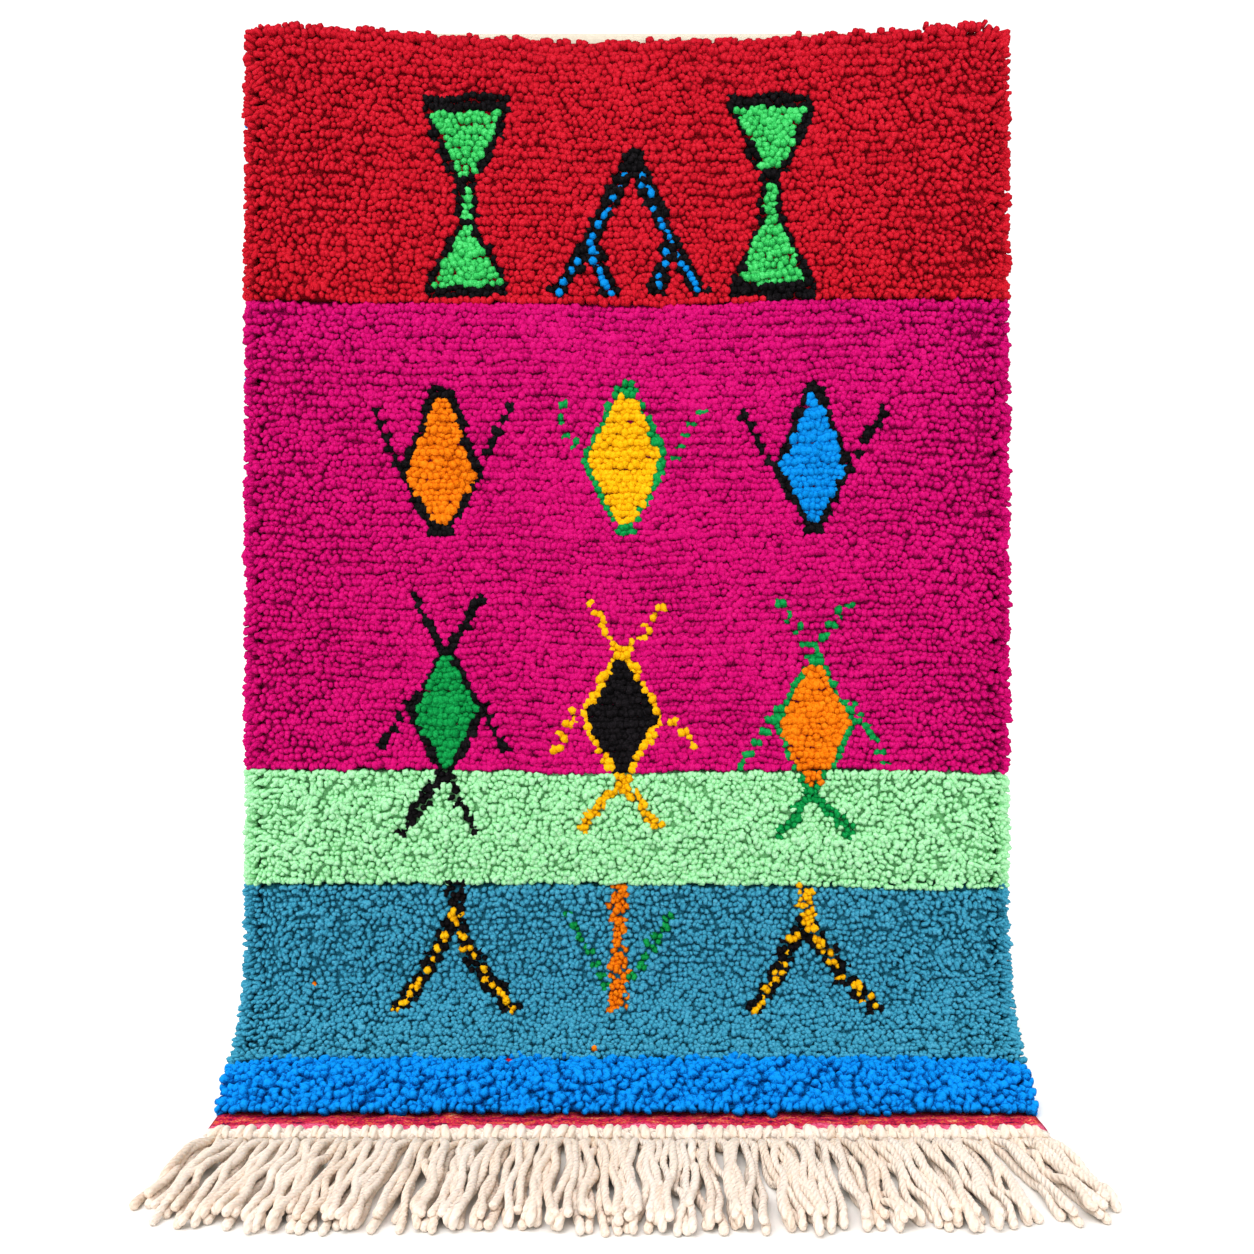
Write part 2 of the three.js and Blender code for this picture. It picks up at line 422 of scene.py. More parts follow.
# The red band has two hourglasses, left and right.
HOURGLASSES = (
    Figure(
        -211,
        Yarn.LIGHT_GREEN,
        Yarn.BLACK,
        (
            (88, 0, 54), (111, 0, 54), (112, 46, 57), (192, 10, 21), (193, 0, 15), (211, 0, 15),
            (212, 7, 16), (247, 7, 16), (248, 0, 14), (265, 0, 15), (266, 10, 22), (337, 46, 57),
            (338, 0, 54), (352, 0, 54),
        ),
    ),
    Figure(
        190,
        Yarn.LIGHT_GREEN,
        Yarn.BLACK,
        (
            (86, 0, 54), (104, 0, 54), (105, 45, 56), (187, 11, 21), (188, 0, 14), (206, 0, 14),
            (207, 7, 15), (256, 9, 18), (333, 45, 56), (334, 0, 56), (353, 0, 56),
        ),
    ),
    Dots(Yarn.LIGHT_GREEN, (-213, 259), (-213, 259), 1),
)

# The chevron between the hourglasses has two black legs that fork, with blue in their cores.
RED_CHEVRON = (
    *(
        Stroke(Yarn.BLACK, start, end, 12.0, Yarn.AZURE, 3.8)
        for start, end in (
            ((7, 168), (-48, 280)),
            ((-50, 283), (-92, 346)),
            ((-47, 283), (-25, 346)),
            ((7, 168), (60, 281)),
            ((58, 284), (39, 346)),
            ((62, 284), (96, 346)),
        )
    ),
    Stroke(Yarn.BLACK, (7, 166), (7, 178), 14),
)


def lozenge(
    across: float,
    top: float,
    widest: float,
    foot: float,
    half: float,
    edging: float = 9,
    blunt: float = 5,
    cap: float = 16,
) -> tuple[Row, ...]:
    """Lay out a lozenge with blunt tips.

    Args:
        across: Half the width of its edging at the tips.
        top: Where its filling starts down the rug.
        widest: Where it is widest.
        foot: Where its filling ends.
        half: Half the width of its filling where it is widest.
        edging: How wide its edging is at each side.
        blunt: Half the width of its filling at the two ends.
        cap: How far its edging goes on above and below its filling.

    Returns:
        The rows of its table.
    """
    return (
        (top - cap, 0, across),
        (top - 1, 0, across),
        (top, blunt, across + 2),
        (widest, half, half + edging),
        (foot, blunt + 1, across + 2),
        (foot + 1, 0, across),
        (foot + cap, 0, across),
    )


# The upper row of the magenta band has three lozenges with raised arms of single knots.
UPPER_LOZENGES = (
    Dots(Yarn.BLACK, (-330, 504), (-303, 570), 5, 3),
    Dots(Yarn.BLACK, (-156, 498), (-184, 561), 5, 3),
    Figure(-244, Yarn.ORANGE, Yarn.BLACK, lozenge(16, 484, 587, 652, 46, 11)),
    Dots(Yarn.EMERALD, (-87, 497), (-87, 513), 2),
    Dots(Yarn.EMERALD, (-76, 533), (-67, 548), 2),
    Dots(Yarn.EMERALD, (96, 504), (62, 566), 5),
    Figure(-2, Yarn.GOLD, Yarn.EMERALD, lozenge(14, 484, 568, 652, 48, 8, 9)),
    Dots(Yarn.BLACK, (153, 508), (186, 570), 5, 3),
    Dots(Yarn.BLACK, (339, 500), (305, 557), 5, 3),
    Figure(245, Yarn.AZURE, Yarn.BLACK, lozenge(13, 484, 578, 648, 43, 11)),
)

# The lower row has feelers above, arms beside and legs below, which reach into the mint.
LOWER_LOZENGES = (
    Stroke(Yarn.BLACK, (-279, 746), (-240, 822), 6),
    Stroke(Yarn.BLACK, (-190, 748), (-236, 822), 6),
    Dots(Yarn.BLACK, (-288, 890), (-322, 942), 5, 3),
    Dots(Yarn.BLACK, (-188, 890), (-157, 947), 5, 3),
    Figure(-238, Yarn.EMERALD, Yarn.BLACK, lozenge(13, 830, 897, 968, 40, 13)),
    Stroke(Yarn.BLACK, (-249, 990), (-296, 1057), 7.4),
    Stroke(Yarn.BLACK, (-231, 990), (-202, 1052), 7.4),
    Dots(Yarn.GOLD, (-48, 753), (-19, 812), 5),
    Dots(Yarn.GOLD, (46, 763), (6, 812), 5),
    Dots(Yarn.GOLD, (-71, 903), (-93, 947), 4),
    Dots(Yarn.GOLD, (63, 912), (84, 937), 3),
    Figure(-7, Yarn.BLACK, Yarn.GOLD, lozenge(12, 828, 904, 980, 48, 9)),
    Stroke(Yarn.GOLD, (-14, 996), (-56, 1050), 6),
    Stroke(Yarn.GOLD, (0, 996), (37, 1052), 6),
    Dots(Yarn.EMERALD, (202, 757), (234, 808), 4),
    Dots(Yarn.EMERALD, (290, 757), (247, 812), 5),
    Dots(Yarn.EMERALD, (196, 897), (153, 966), 6),
    Dots(Yarn.EMERALD, (300, 893), (342, 964), 6),
    Figure(246, Yarn.ORANGE, Yarn.EMERALD, lozenge(11, 836, 914, 994, 50, 8)),
    Stroke(Yarn.EMERALD, (238, 1010), (200, 1058), 6.4),
    Stroke(Yarn.EMERALD, (250, 1010), (296, 1060), 6.4),
)

# The teal band has a chevron on each side of a bar with two leaves.
TEAL_CHEVRONS = (
    Stroke(Yarn.BLACK, (-227, 1172), (-298, 1298), 12, Yarn.GOLD, 4.6),
    Stroke(Yarn.BLACK, (-227, 1172), (-149, 1298), 12, Yarn.GOLD, 4.6),
    Stroke(Yarn.BLACK, (-224, 1126), (-224, 1162), 12),
    Dots(Yarn.GOLD, (-227, 1168), (-227, 1168), 1, 5),
    Dots(Yarn.EMERALD, (-77, 1164), (-27, 1256), 7, 3),
    Dots(Yarn.EMERALD, (59, 1170), (7, 1246), 7, 3),
    Stroke(Yarn.ORANGE, (-10, 1127), (-10, 1296), 10.5),
    Stroke(Yarn.BLACK, (232, 1174), (164, 1298), 12, Yarn.GOLD, 4.6),
    Stroke(Yarn.BLACK, (232, 1174), (323, 1298), 12, Yarn.GOLD, 4.6),
    Stroke(Yarn.GOLD, (237, 1130), (234, 1172), 10),
)

# Single tufts of another yarn slipped in here and there.
STRAYS = (
    Dots(Yarn.ORANGE, (-409, 1252), (-409, 1252), 1, 1),
    Dots(Yarn.ORANGE, (-39, 1372), (-39, 1372), 1, 1),
    Dots(Yarn.RED, (-150, 1400), (-150, 1400), 1, 1),
)


@dataclass(frozen=True)
class Chart:
    """What yarn each knot of the rug is tied in, by symbols of which the last are on top."""

    symbols: tuple[Figure | Stroke | Dots, ...] = (
        *HOURGLASSES, *RED_CHEVRON, *UPPER_LOZENGES, *LOWER_LOZENGES, *TEAL_CHEVRONS, *STRAYS
    )

    def yarns(self, across: Numbers, down: Numbers, ground: Numbers) -> Numbers:
        """Read the chart.

        Args:
            across: Where the knots are across the rug.
            down: Where they are down the rug.
            ground: The number of the band's yarn at each knot.

        Returns:
            The yarn number of each knot.
        """
        yarns = np.array(ground)
        for symbol in self.symbols:
            symbol.tie(across, down, yarns)
        return yarns


@dataclass(frozen=True)
class TuftForm:
    """The form of one cut tuft, 1 long and 1 across: pinched at its root and domed at its tip."""

    sides: int
    shoulder: float
    dome: float
    dome_width: float
    lean: float
    sag: float = 0.0
    waists: tuple[Pair, ...] = ()

    def mesh(self, name: str) -> bpy.types.Mesh:
        """Shape the tuft from a cone whose two ends are drawn out to points.

        Args:
            name: The mesh's name.

        Returns:
            A closed mesh with a map of its faces as a disc.
        """
        bm = bmesh.new()
        bmesh.ops.create_cone(
            bm,
            cap_ends=True,
            cap_tris=True,
            segments=self.sides,
            radius1=0.5,
            radius2=0.5 * self.dome_width,
            depth=self.dome - self.shoulder,
        )
        bmesh.ops.translate(bm, verts=bm.verts, vec=(0, 0, (self.dome + self.shoulder) / 2))
        middles = [vert for vert in bm.verts if vert.co.xy.length < 1e-4]
        root, tip = sorted(middles, key=lambda vert: vert.co.z)
        root.co = Vector((0, 0, 0))
        tip.co = Vector((self.lean, 0, 1))
        for place, width in self.waists:
            self._draw_in(bm, place, width)
        for vert in bm.verts:
            vert.co.x += self.sag * (vert.co.z - vert.co.z**2)
        self._map(bm)
        return to_mesh(bm, bpy.data.meshes.new(name))

    @staticmethod
    def _draw_in(bm: bmesh.types.BMesh, place: float, width: float) -> None:
        """Cut a ring round the lower part and swell it, so that the tuft is a finger.

        Args:
            bm: The tuft.
            place: How far along the tuft the ring is.
            width: The ring's width.
        """
        cut = bmesh.ops.bisect_plane(
            bm,
            geom=[*bm.verts, *bm.edges, *bm.faces],
            plane_co=(0, 0, place),
            plane_no=(0, 0, 1),
        )
        ring = [part for part in cut["geom_cut"] if isinstance(part, bmesh.types.BMVert)]
        for vert in ring:
            flat = vert.co.xy.normalized() * 0.5 * width
            vert.co.x, vert.co.y = flat

    @staticmethod
    def _map(bm: bmesh.types.BMesh) -> None:
        """Lay the faces out as a disc, tip in the middle.

        Args:
            bm: The tuft.
        """
        disc = bm.loops.layers.uv.new("disc")
        for face in bm.faces:
            middle = face.calc_center_median()
            facing = math.atan2(middle.y, middle.x)
            for loop in face.loops:
                place = loop.vert.co
                at_pole = place.z < 0.01 or place.z > 0.99
                angle = facing if at_pole else math.atan2(place.y, place.x)
                reach = 0.48 * (1 - place.z) ** 0.6
                loop[disc].uv = (reach * math.cos(angle), reach * math.sin(angle))


class Forms(Enum):
    """The forms that tufts come in: standing on end, lying over, or thick and curved."""

    STANDING = (
        TuftForm(6, 0.64, 0.90, 0.76, 0.12),
        TuftForm(6, 0.68, 0.92, 0.72, -0.18),
        TuftForm(6, 0.60, 0.90, 0.74, 0.22),
        TuftForm(6, 0.66, 0.93, 0.80, 0.04),
    )
    LYING = (
        TuftForm(6, 0.22, 0.88, 0.80, 0.06),
        TuftForm(6, 0.26, 0.89, 0.76, -0.10),
        TuftForm(6, 0.20, 0.87, 0.84, 0.12),
        TuftForm(6, 0.24, 0.88, 0.78, 0.00),
    )
    THICK = (
        TuftForm(7, 0.84, 0.95, 0.74, 0.03, 1.0, ((0.5, 1.0), (0.12, 0.88))),
        TuftForm(7, 0.86, 0.96, 0.76, -0.04, -1.2, ((0.5, 1.04), (0.10, 0.88))),
        TuftForm(7, 0.82, 0.94, 0.72, 0.05, 1.6, ((0.5, 0.98), (0.12, 0.86))),
        TuftForm(7, 0.85, 0.95, 0.76, 0.00, 0.2, ((0.5, 1.02), (0.10, 0.88))),
    )


def settle(
    across: Numbers, down: Numbers, spacing: float, within: float, times: int
) -> tuple[Numbers, Numbers]:
    """Let neighbouring tufts push each other aside, as yarn ends that are packed do.

    Args:
        across: Tips across the rug, as rows of tips.
        down: The same tips down the rug.
        spacing: How far apart two tips want to be.
        within: The same for two tips of one knot, one above the other, as a share of the spacing.
        times: How many times they push.

    Returns:
        The tips' new places across and down, each as one long row.
    """
    across, down = across.copy(), down.copy()
    rows, columns = across.shape
    give = 0.3
    for _ in range(times):
        push_across, push_down = np.zeros_like(across), np.zeros_like(down)
        for row_step, column_step in ((0, 1), (1, -1), (1, 0), (1, 1), (2, 0)):
            left, right = max(0, -column_step), max(0, column_step)
            first = (slice(0, rows - row_step), slice(left, columns - right))
            second = (slice(row_step, rows), slice(right, columns - left))
            step_across = across[second] - across[first]
            step_down = down[second] - down[first]
            far = np.hypot(step_across, step_down) + 1e-6
            wish = np.full(far.shape, spacing)
            if row_step == 1:
                same_knot = np.arange(rows - 1) % 2 == 0
                wish *= np.where(same_knot, within, 2 - within)[:, None]
            share = give * np.maximum(wish - far, 0) / far
            push_across[first] -= share * step_across
            push_down[first] -= share * step_down
            push_across[second] += share * step_across
            push_down[second] += share * step_down
        across += push_across
        down += push_down
    return across.ravel(), down.ravel()


@dataclass
class Tufts:
    """Tufts by their roots and tips, as arrays with a row for each tuft."""

    root: Numbers
    tip: Numbers
    facing: Numbers
    width: Numbers
    form: Numbers
    yarn: Numbers

    def chosen(self, keep: Numbers) -> "Tufts":
        """Pick some of the tufts by a mask or by their numbers."""
        return Tufts(*(column[keep] for column in vars(self).values()))

    def of_yarn(self, yarn: Yarn) -> "Tufts":
        """Pick the tufts of one yarn."""
        return self.chosen(self.yarn == yarn.number)

    @staticmethod
    def joined(parts: Iterable["Tufts"]) -> "Tufts":
        """Put several lots of tufts into one."""
        columns = zip(*(vars(part).values() for part in parts))
        return Tufts(*(np.concatenate(column) for column in columns))


@dataclass(frozen=True)
class Line:
    """Where one band's yarn gives way to the next, and how far it strays on its way across."""

    down: float
    strays: tuple[Pair, ...] = ((0.0, 0.0),)

    def at(self, across: Numbers) -> Numbers:
        """Find how far down the rug the line is at places across it."""
        stations, stray = np.array(self.strays).T
        return self.down + np.interp(across, stations, stray)


TOP_LINE = Line(13, ((-498, 0), (-150, 0), (-35, 2.5), (60, -2), (161, 2.5), (230, 0), (498, 0)))
RED_END = Line(
    357, ((-490, -1.5), (-350, 3), (-100, 4), (30, 9), (100, 6), (160, 2), (230, -2), (490, -3))
)
MAGENTA_END = Line(
    974, ((-490, 0), (-150, 1), (-100, 6), (-30, 5), (100, 3), (300, -1), (380, 1), (470, 7))
)
MINT_END = Line(1125, ((-490, 1), (-440, -1.5), (130, 0), (230, 3), (330, 4.5), (400, 7), (490, 5)))
TEAL_END = Line(1389)


@dataclass(frozen=True)
class Band:
    """A band of pile in one yarn, and how its tufts stand. Sizes are in millimetres."""

    node: str
    yarn: Yarn
    top: Line
    foot: Line
    rows: int
    pitch: float
    width: float
    high: float
    high_at_foot: float
    furrow: float
    clump: float
    shown: float
    lie: Pair
    droop: float
    forms: Forms
    seed: int

    @property
    def start(self) -> float:
        """How far down the rug the band starts in the main."""
        return self.top.down

    @property
    def end(self) -> float:
        """How far down the rug the band ends in the main."""
        return self.foot.down

    @property
    def hem(self) -> float:
        """How far inside the band's two lines its tips stay."""
        return 0.35 * self.width


BANDS = (
    Band(
        "pile_red", Yarn.RED, TOP_LINE, RED_END, rows=24, pitch=7.6, width=11.4, high=20, high_at_foot=20,
        furrow=0.8, clump=1.0, shown=14, lie=(0.15, 0.6), droop=4.0, forms=Forms.STANDING, seed=11,
    ),
    Band(
        "pile_magenta", Yarn.MAGENTA, RED_END, MAGENTA_END, rows=40, pitch=7.1, width=12.4, high=20,
        high_at_foot=20, furrow=0.85, clump=1.0, shown=12, lie=(0.05, 0.4), droop=3.0,
        forms=Forms.STANDING, seed=12,
    ),
    Band(
        "pile_mint", Yarn.MINT, MAGENTA_END, MINT_END, rows=12, pitch=6.0, width=9.0, high=21,
        high_at_foot=21, furrow=0.2, clump=0.5, shown=10.5, lie=(0.5, 0.95), droop=1.5,
        forms=Forms.LYING, seed=13,
    ),
    Band(
        "pile_teal", Yarn.TEAL, MINT_END, TEAL_END, rows=19, pitch=6.2, width=8.6, high=20,
        high_at_foot=38, furrow=0.5, clump=0.6, shown=11, lie=(0.3, 0.95), droop=2.0,
        forms=Forms.LYING, seed=14,
    ),
)


@dataclass(frozen=True)
class Rim:
    """How the pile rounds off at an edge of the rug: from how far in, how much out and how flat.

    The power and the fan say how soon that begins and how soon the tufts turn outwards.
    """

    width: float
    reach: float
    drop: float
    power: float
    fan: float

    def share(self, inside: Numbers) -> Numbers:
        """Go from 0 away from the edge to 1 at it."""
        return np.clip((self.width - inside) / self.width, 0, 1) ** self.power


@dataclass
class Pile:
    """The pile: where each tuft is tied and how it leans. Sizes are in millimetres."""

    shape: RugShape
    chart: Chart
    half_width: float = 498.0
    root_half_width: float = 489.5
    overhang: float = 16.0
    corner_rise: float = 31.0
    corner_round: float = 38.0
    corner_drop: float = 13.0
    crowds_from: float = 1149.0
    crowds_to: float = 1334.0
    jitter: float = 0.9
    packed: float = 1.02
    black_sinks: float = 1.2
    side: Rim = Rim(60.0, 9.0, 9.0, 1.8, 0.6)
    top: Rim = Rim(50.0, 8.0, 6.0, 1.4, 0.7)
    grain_width: float = 110.0
    top_grain_width: float = 70.0
    upright: float = 0.985
    outward_step: float = 7.5
    outward_width: float = 9.0
    outward_seed: int = 40

    def rise(self, across: Numbers) -> Numbers:
        """Find how much higher the first row is towards the corners of the rug.

        Args:
            across: Places across the rug.

        Returns:
            The rise at each place.
        """
        past = np.abs(across) - self.half_width + self.corner_round
        rounding = np.clip(past / self.corner_round, 0, 1) ** 1.5
        return self.corner_rise * (np.abs(across) / self.half_width) ** 2 - self.corner_drop * rounding

    def high(self, band: Band, down: Numbers) -> Numbers:
        """How far the pile stands off the cloth, which the bend crowds up at the rug's foot."""
        crowd = smooth_step(down, self.crowds_from, self.crowds_to)
        return band.high + (band.high_at_foot - band.high) * crowd

    def band(self, band: Band) -> Tufts:
        """Tie the tufts of one band.

        Args:
            band: The band and how its tufts stand.

        Returns:
            Its tufts.
        """
        random = np.random.default_rng(band.seed)
        columns = round(2 * self.half_width / band.pitch) + 4
        # Each knot has two ends, -1 the upper and 1 the lower, which stand a little to its sides.
        row, end, column = grid(np.arange(band.rows), (-1, 1), np.arange(columns))
        count = len(row)
        stagger = 0.25 * end + 0.1 * (row % 2)
        across = (column + 0.5 + stagger) * 2 / columns - 1
        across = across * (self.half_width + self.overhang)
        across = np.clip(across, 1 - self.half_width, self.half_width - 1)
        is_first = band is BANDS[0]
        share = (row + 0.5 + 0.25 * end * (1 - 0.14 * band.furrow)) / band.rows
        top, foot = band.top.at(across) - (self.rise(across) if is_first else 0), band.foot.at(across)
        down = top * (1 - share) + foot * share

        # Rows stand up in low ridges, and their tips push each other aside.
        high = self.high(band, down)
        flat = (high - band.high) / max(band.high_at_foot - band.high, 1)
        furrow = band.furrow * np.clip(0.75 + 0.5 * wander(across, down, 160, band.seed + 1), 0, 1.3)
        out = high + 0.5 * wander(across, down, 50, band.seed + 2) + furrow * (1.5 * end - 0.5)
        out += random.normal(0, 0.6, count)
        aside, below = self._settled(band, across, down, random)
        aside -= across
        below = np.clip(below, top + band.hem, foot - band.hem) - down
        yarn = self.chart.yarns(across + aside, down + below, np.full(count, band.yarn.number))
        out -= self.black_sinks * (yarn == Yarn.BLACK.number)
        below += band.droop * 0.6 * (1 - flat)

        # At the rug's sides and at its top the tufts sink and reach out, some more than others.
        side = self.side.share(self.half_width - np.abs(across))
        aside *= 1 - side
        bunch = random.uniform(0.65, 1.1, 2 * band.rows)[2 * row + (across > 0)]
        aside += np.sign(across) * side * self.side.reach * (bunch + random.uniform(-0.3, 0.3, count))
        below -= 0.6 * end * side
        out -= side * self.side.drop
        below += side**self.side.fan * random.normal(0, 2.6, count)
        near_top = self.top.share(down - top) if is_first else np.zeros(count)
        below -= near_top * (1 - 0.6 * side) * self.top.reach * random.uniform(0.2, 1.4, count)
        out -= near_top * self.top.drop

        fan_side, fan_top = side**self.side.fan, near_top**self.top.fan
        shown = band.shown * random.uniform(0.88, 1.15, count) * (1 + 0.4 * fan_side * (1 - fan_top))
        loose = 1 - 0.75 * np.maximum(fan_side, fan_top)
        way = 2.2 * wander(across, down, 110, band.seed + 6) + random.normal(0, 0.8, count)
        side_grain = np.exp((np.abs(across) - self.half_width) / self.grain_width)
        top_grain = 0.35 * np.exp((top - down) / self.top_grain_width) if is_first else 0
        grain = np.maximum(side_grain, top_grain)
        lie = shown * np.minimum(random.uniform(*band.lie, count) + 0.45 * grain, 1) * loose
        lean_across = lie * np.cos(way) + 0.72 * np.sign(across) * fan_side * shown
        lean_down = lie * np.sin(way) + band.droop * (1 - 0.7 * flat) * loose
        stray = random.normal(0.12, 0.3, count)
        lean_down += fan_side * stray * shown * (1 - fan_top) - 0.85 * fan_top * shown

        # A root lies straight below its tip, less the lean, inside the cloth and its own band.
        lean = np.hypot(lean_across, lean_down)
        held = np.minimum(1, self.upright * shown / lean)
        deep = np.sqrt(shown**2 - (lean * held) ** 2)
        foot_across = across + aside - lean_across * held
        foot_across = np.clip(foot_across, -self.root_half_width, self.root_half_width)
        foot_down = down + below - lean_down * held
        foot_down = np.clip(foot_down, top + 0.7 * band.hem, foot - 0.7 * band.hem)
        cloth = self.shape.thickness
        tip = self.shape.place(across + aside, down + below, cloth + out)
        root = self.shape.place(foot_across, foot_down, cloth + np.maximum(out - deep, 1))

        width = band.width * self.uneven(random, 0.11, count)
        width *= (1 - 0.22 * side_grain) * (1 + 0.08 * (yarn != band.yarn.number))
        form = self.forms(band.forms, random, count)
        is_long = random.uniform(0, 1, count) < 1.3 * grain
        is_long |= np.maximum(side, near_top) > 0.2
        form = np.where(is_long, self.forms(Forms.LYING, random, count), form)
        width *= 1 + 0.14 * near_top
        return Tufts(root, tip, self.shape.facing(across, down, cloth + out), width * MM, form, yarn)

    def _settled(
        self, band: Band, across: Numbers, down: Numbers, random: np.random.Generator
    ) -> tuple[Numbers, Numbers]:
        """Shift a band's tips by chance, then let them push each other aside.

        Args:
            band: The band.
            across: Where its tips are across the rug.
            down: Where they are down the rug.
            random: The band's random draws.

        Returns:
            The tips' new places across and down.
        """
        shift_across, shift_down = (
            band.clump * wander(across, down, 30, band.seed + seed)
            + random.normal(0, self.jitter, len(across))
            for seed in (3, 4)
        )
        shift_down += 1.8 * wander(across, down, 240, band.seed + 5)
        rows = (2 * band.rows, -1)
        # Tips that share out the band evenly stand in triangles of equal sides.
        area = 2 / math.sqrt(3) * 2 * self.half_width * (band.end - band.start)
        return settle(
            (across + shift_across).reshape(rows),
            (down + shift_down).reshape(rows),
            self.packed * math.sqrt(area / len(across)),
            1 - 0.12 * band.furrow,
            5,
        )

    def band_sides(self, band: Band) -> Tufts:
        """Cover the two ends of a band's rows with tufts that face outwards.

        Args:
            band: The band.

        Returns:
            The tufts.
        """
        steps = round((band.end - band.start) / self.outward_step)
        levels = 2 if band.high_at_foot == band.high else 3
        level, step = grid(np.arange(levels), np.arange(steps))
        first = band.start + (12 if band is BANDS[0] else 0)
        down = first + (band.end - first) * (step + 0.35 + 0.3 * (level % 2)) / steps
        lowest = 3.0
        highest = self.high(band, down) - self.side.drop
        out = lowest + (highest - lowest) * (level + 0.4) / levels
        forward, up = self.shape.profile(down, self.shape.thickness + out)
        return self.outward(forward, up, self.outward_width, band.yarn, band.seed + self.outward_seed)

    def outward(self, forward: Numbers, up: Numbers, width: float, yarn: Yarn, seed: int) -> Tufts:
        """Tie short tufts that face outwards at both sides of the rug.

        Args:
            forward: How far forward of the rug's back each is.
            up: How far above the floor each is.
            width: How wide they are.
            yarn: Their yarn.
            seed: Seed of what varies.

        Returns:
            The tufts.
        """
        random = np.random.default_rng(seed)
        side = np.repeat((-1.0, 1.0), len(forward))
        count = len(side)
        forward, up = np.tile(forward, 2), np.maximum(np.tile(up, 2), 0.45 * width)
        reach = self.half_width + random.uniform(0, 4, count)
        tip_up = np.maximum(up + random.normal(-1.5, 1.3, count), 0.5 * width)
        tip = self.shape.standing(side * reach, forward + random.normal(0.4, 0.8, count), tip_up)
        root = self.shape.standing(side * (self.half_width - 12), forward, up)
        facing = np.column_stack([side, 0 * side, 0 * side])
        widths = width * self.uneven(random, 0.12, count) * MM
        form = self.forms(Forms.STANDING, random, count)
        return Tufts(root, tip, facing, widths, form, np.full(count, yarn.number))

    def edge_ends(self, ends: Iterable["EdgeEnd"]) -> Tufts:
        """Let yarn ends stick out at the sides, where other yarns were carried along.

        Args:
            ends: The ends.

        Returns:
            Three tufts for each.
        """
        random = np.random.default_rng(16)
        rows = [(end.side, end.down, end.reach, end.yarn.number) for end in ends for _ in range(3)]
        side, down, reach, yarn = np.array(rows).T
        count = len(rows)
        down = down + random.normal(0, 3.0, count)
        out = self.shape.thickness + random.uniform(-1, 3, count)
        tip = self.shape.place(side * (self.half_width + reach), down + 3, out)
        root = self.shape.place(side * (self.half_width - 8), down, out)
        facing = self.shape.facing(side, down, out)
        width = random.uniform(5.5, 7.5, count) * MM
        return Tufts(root, tip, facing, width, self.forms(Forms.LYING, random, count), yarn.astype(int))

    @staticmethod
    def forms(forms: Forms, random: np.random.Generator, count: int) -> Numbers:
        """Draw a form for each tuft, as its place in the list of all forms."""
        first = list(Forms).index(forms) * len(forms.value)
        return first + random.integers(0, len(forms.value), count)

    @staticmethod
    def uneven(random: np.random.Generator, spread: float, count: int) -> Numbers:
        """Draw how thick each tuft is, as a share of the usual."""
        return np.clip(random.normal(1, spread, count), 0.75, 1.3)


@dataclass(frozen=True)
class EdgeEnd:
    """A place at the left (-1) or right (1) side where ends of another yarn stick out."""

    yarn: Yarn
    side: int
    down: float
    reach: float = 9.0


EDGE_ENDS = (
    EdgeEnd(Yarn.RED, -1, 70, 9),
    EdgeEnd(Yarn.BLUE, -1, 116),
    EdgeEnd(Yarn.BLUE, -1, 181),
    EdgeEnd(Yarn.BLUE, -1, 459),
    EdgeEnd(Yarn.TEAL, 1, 40, 7),
    EdgeEnd(Yarn.AZURE, 1, 94, 7),
    EdgeEnd(Yarn.AZURE, 1, 116, 7),
    EdgeEnd(Yarn.AZURE, 1, 141, 7),
    EdgeEnd(Yarn.AZURE, 1, 167),
)


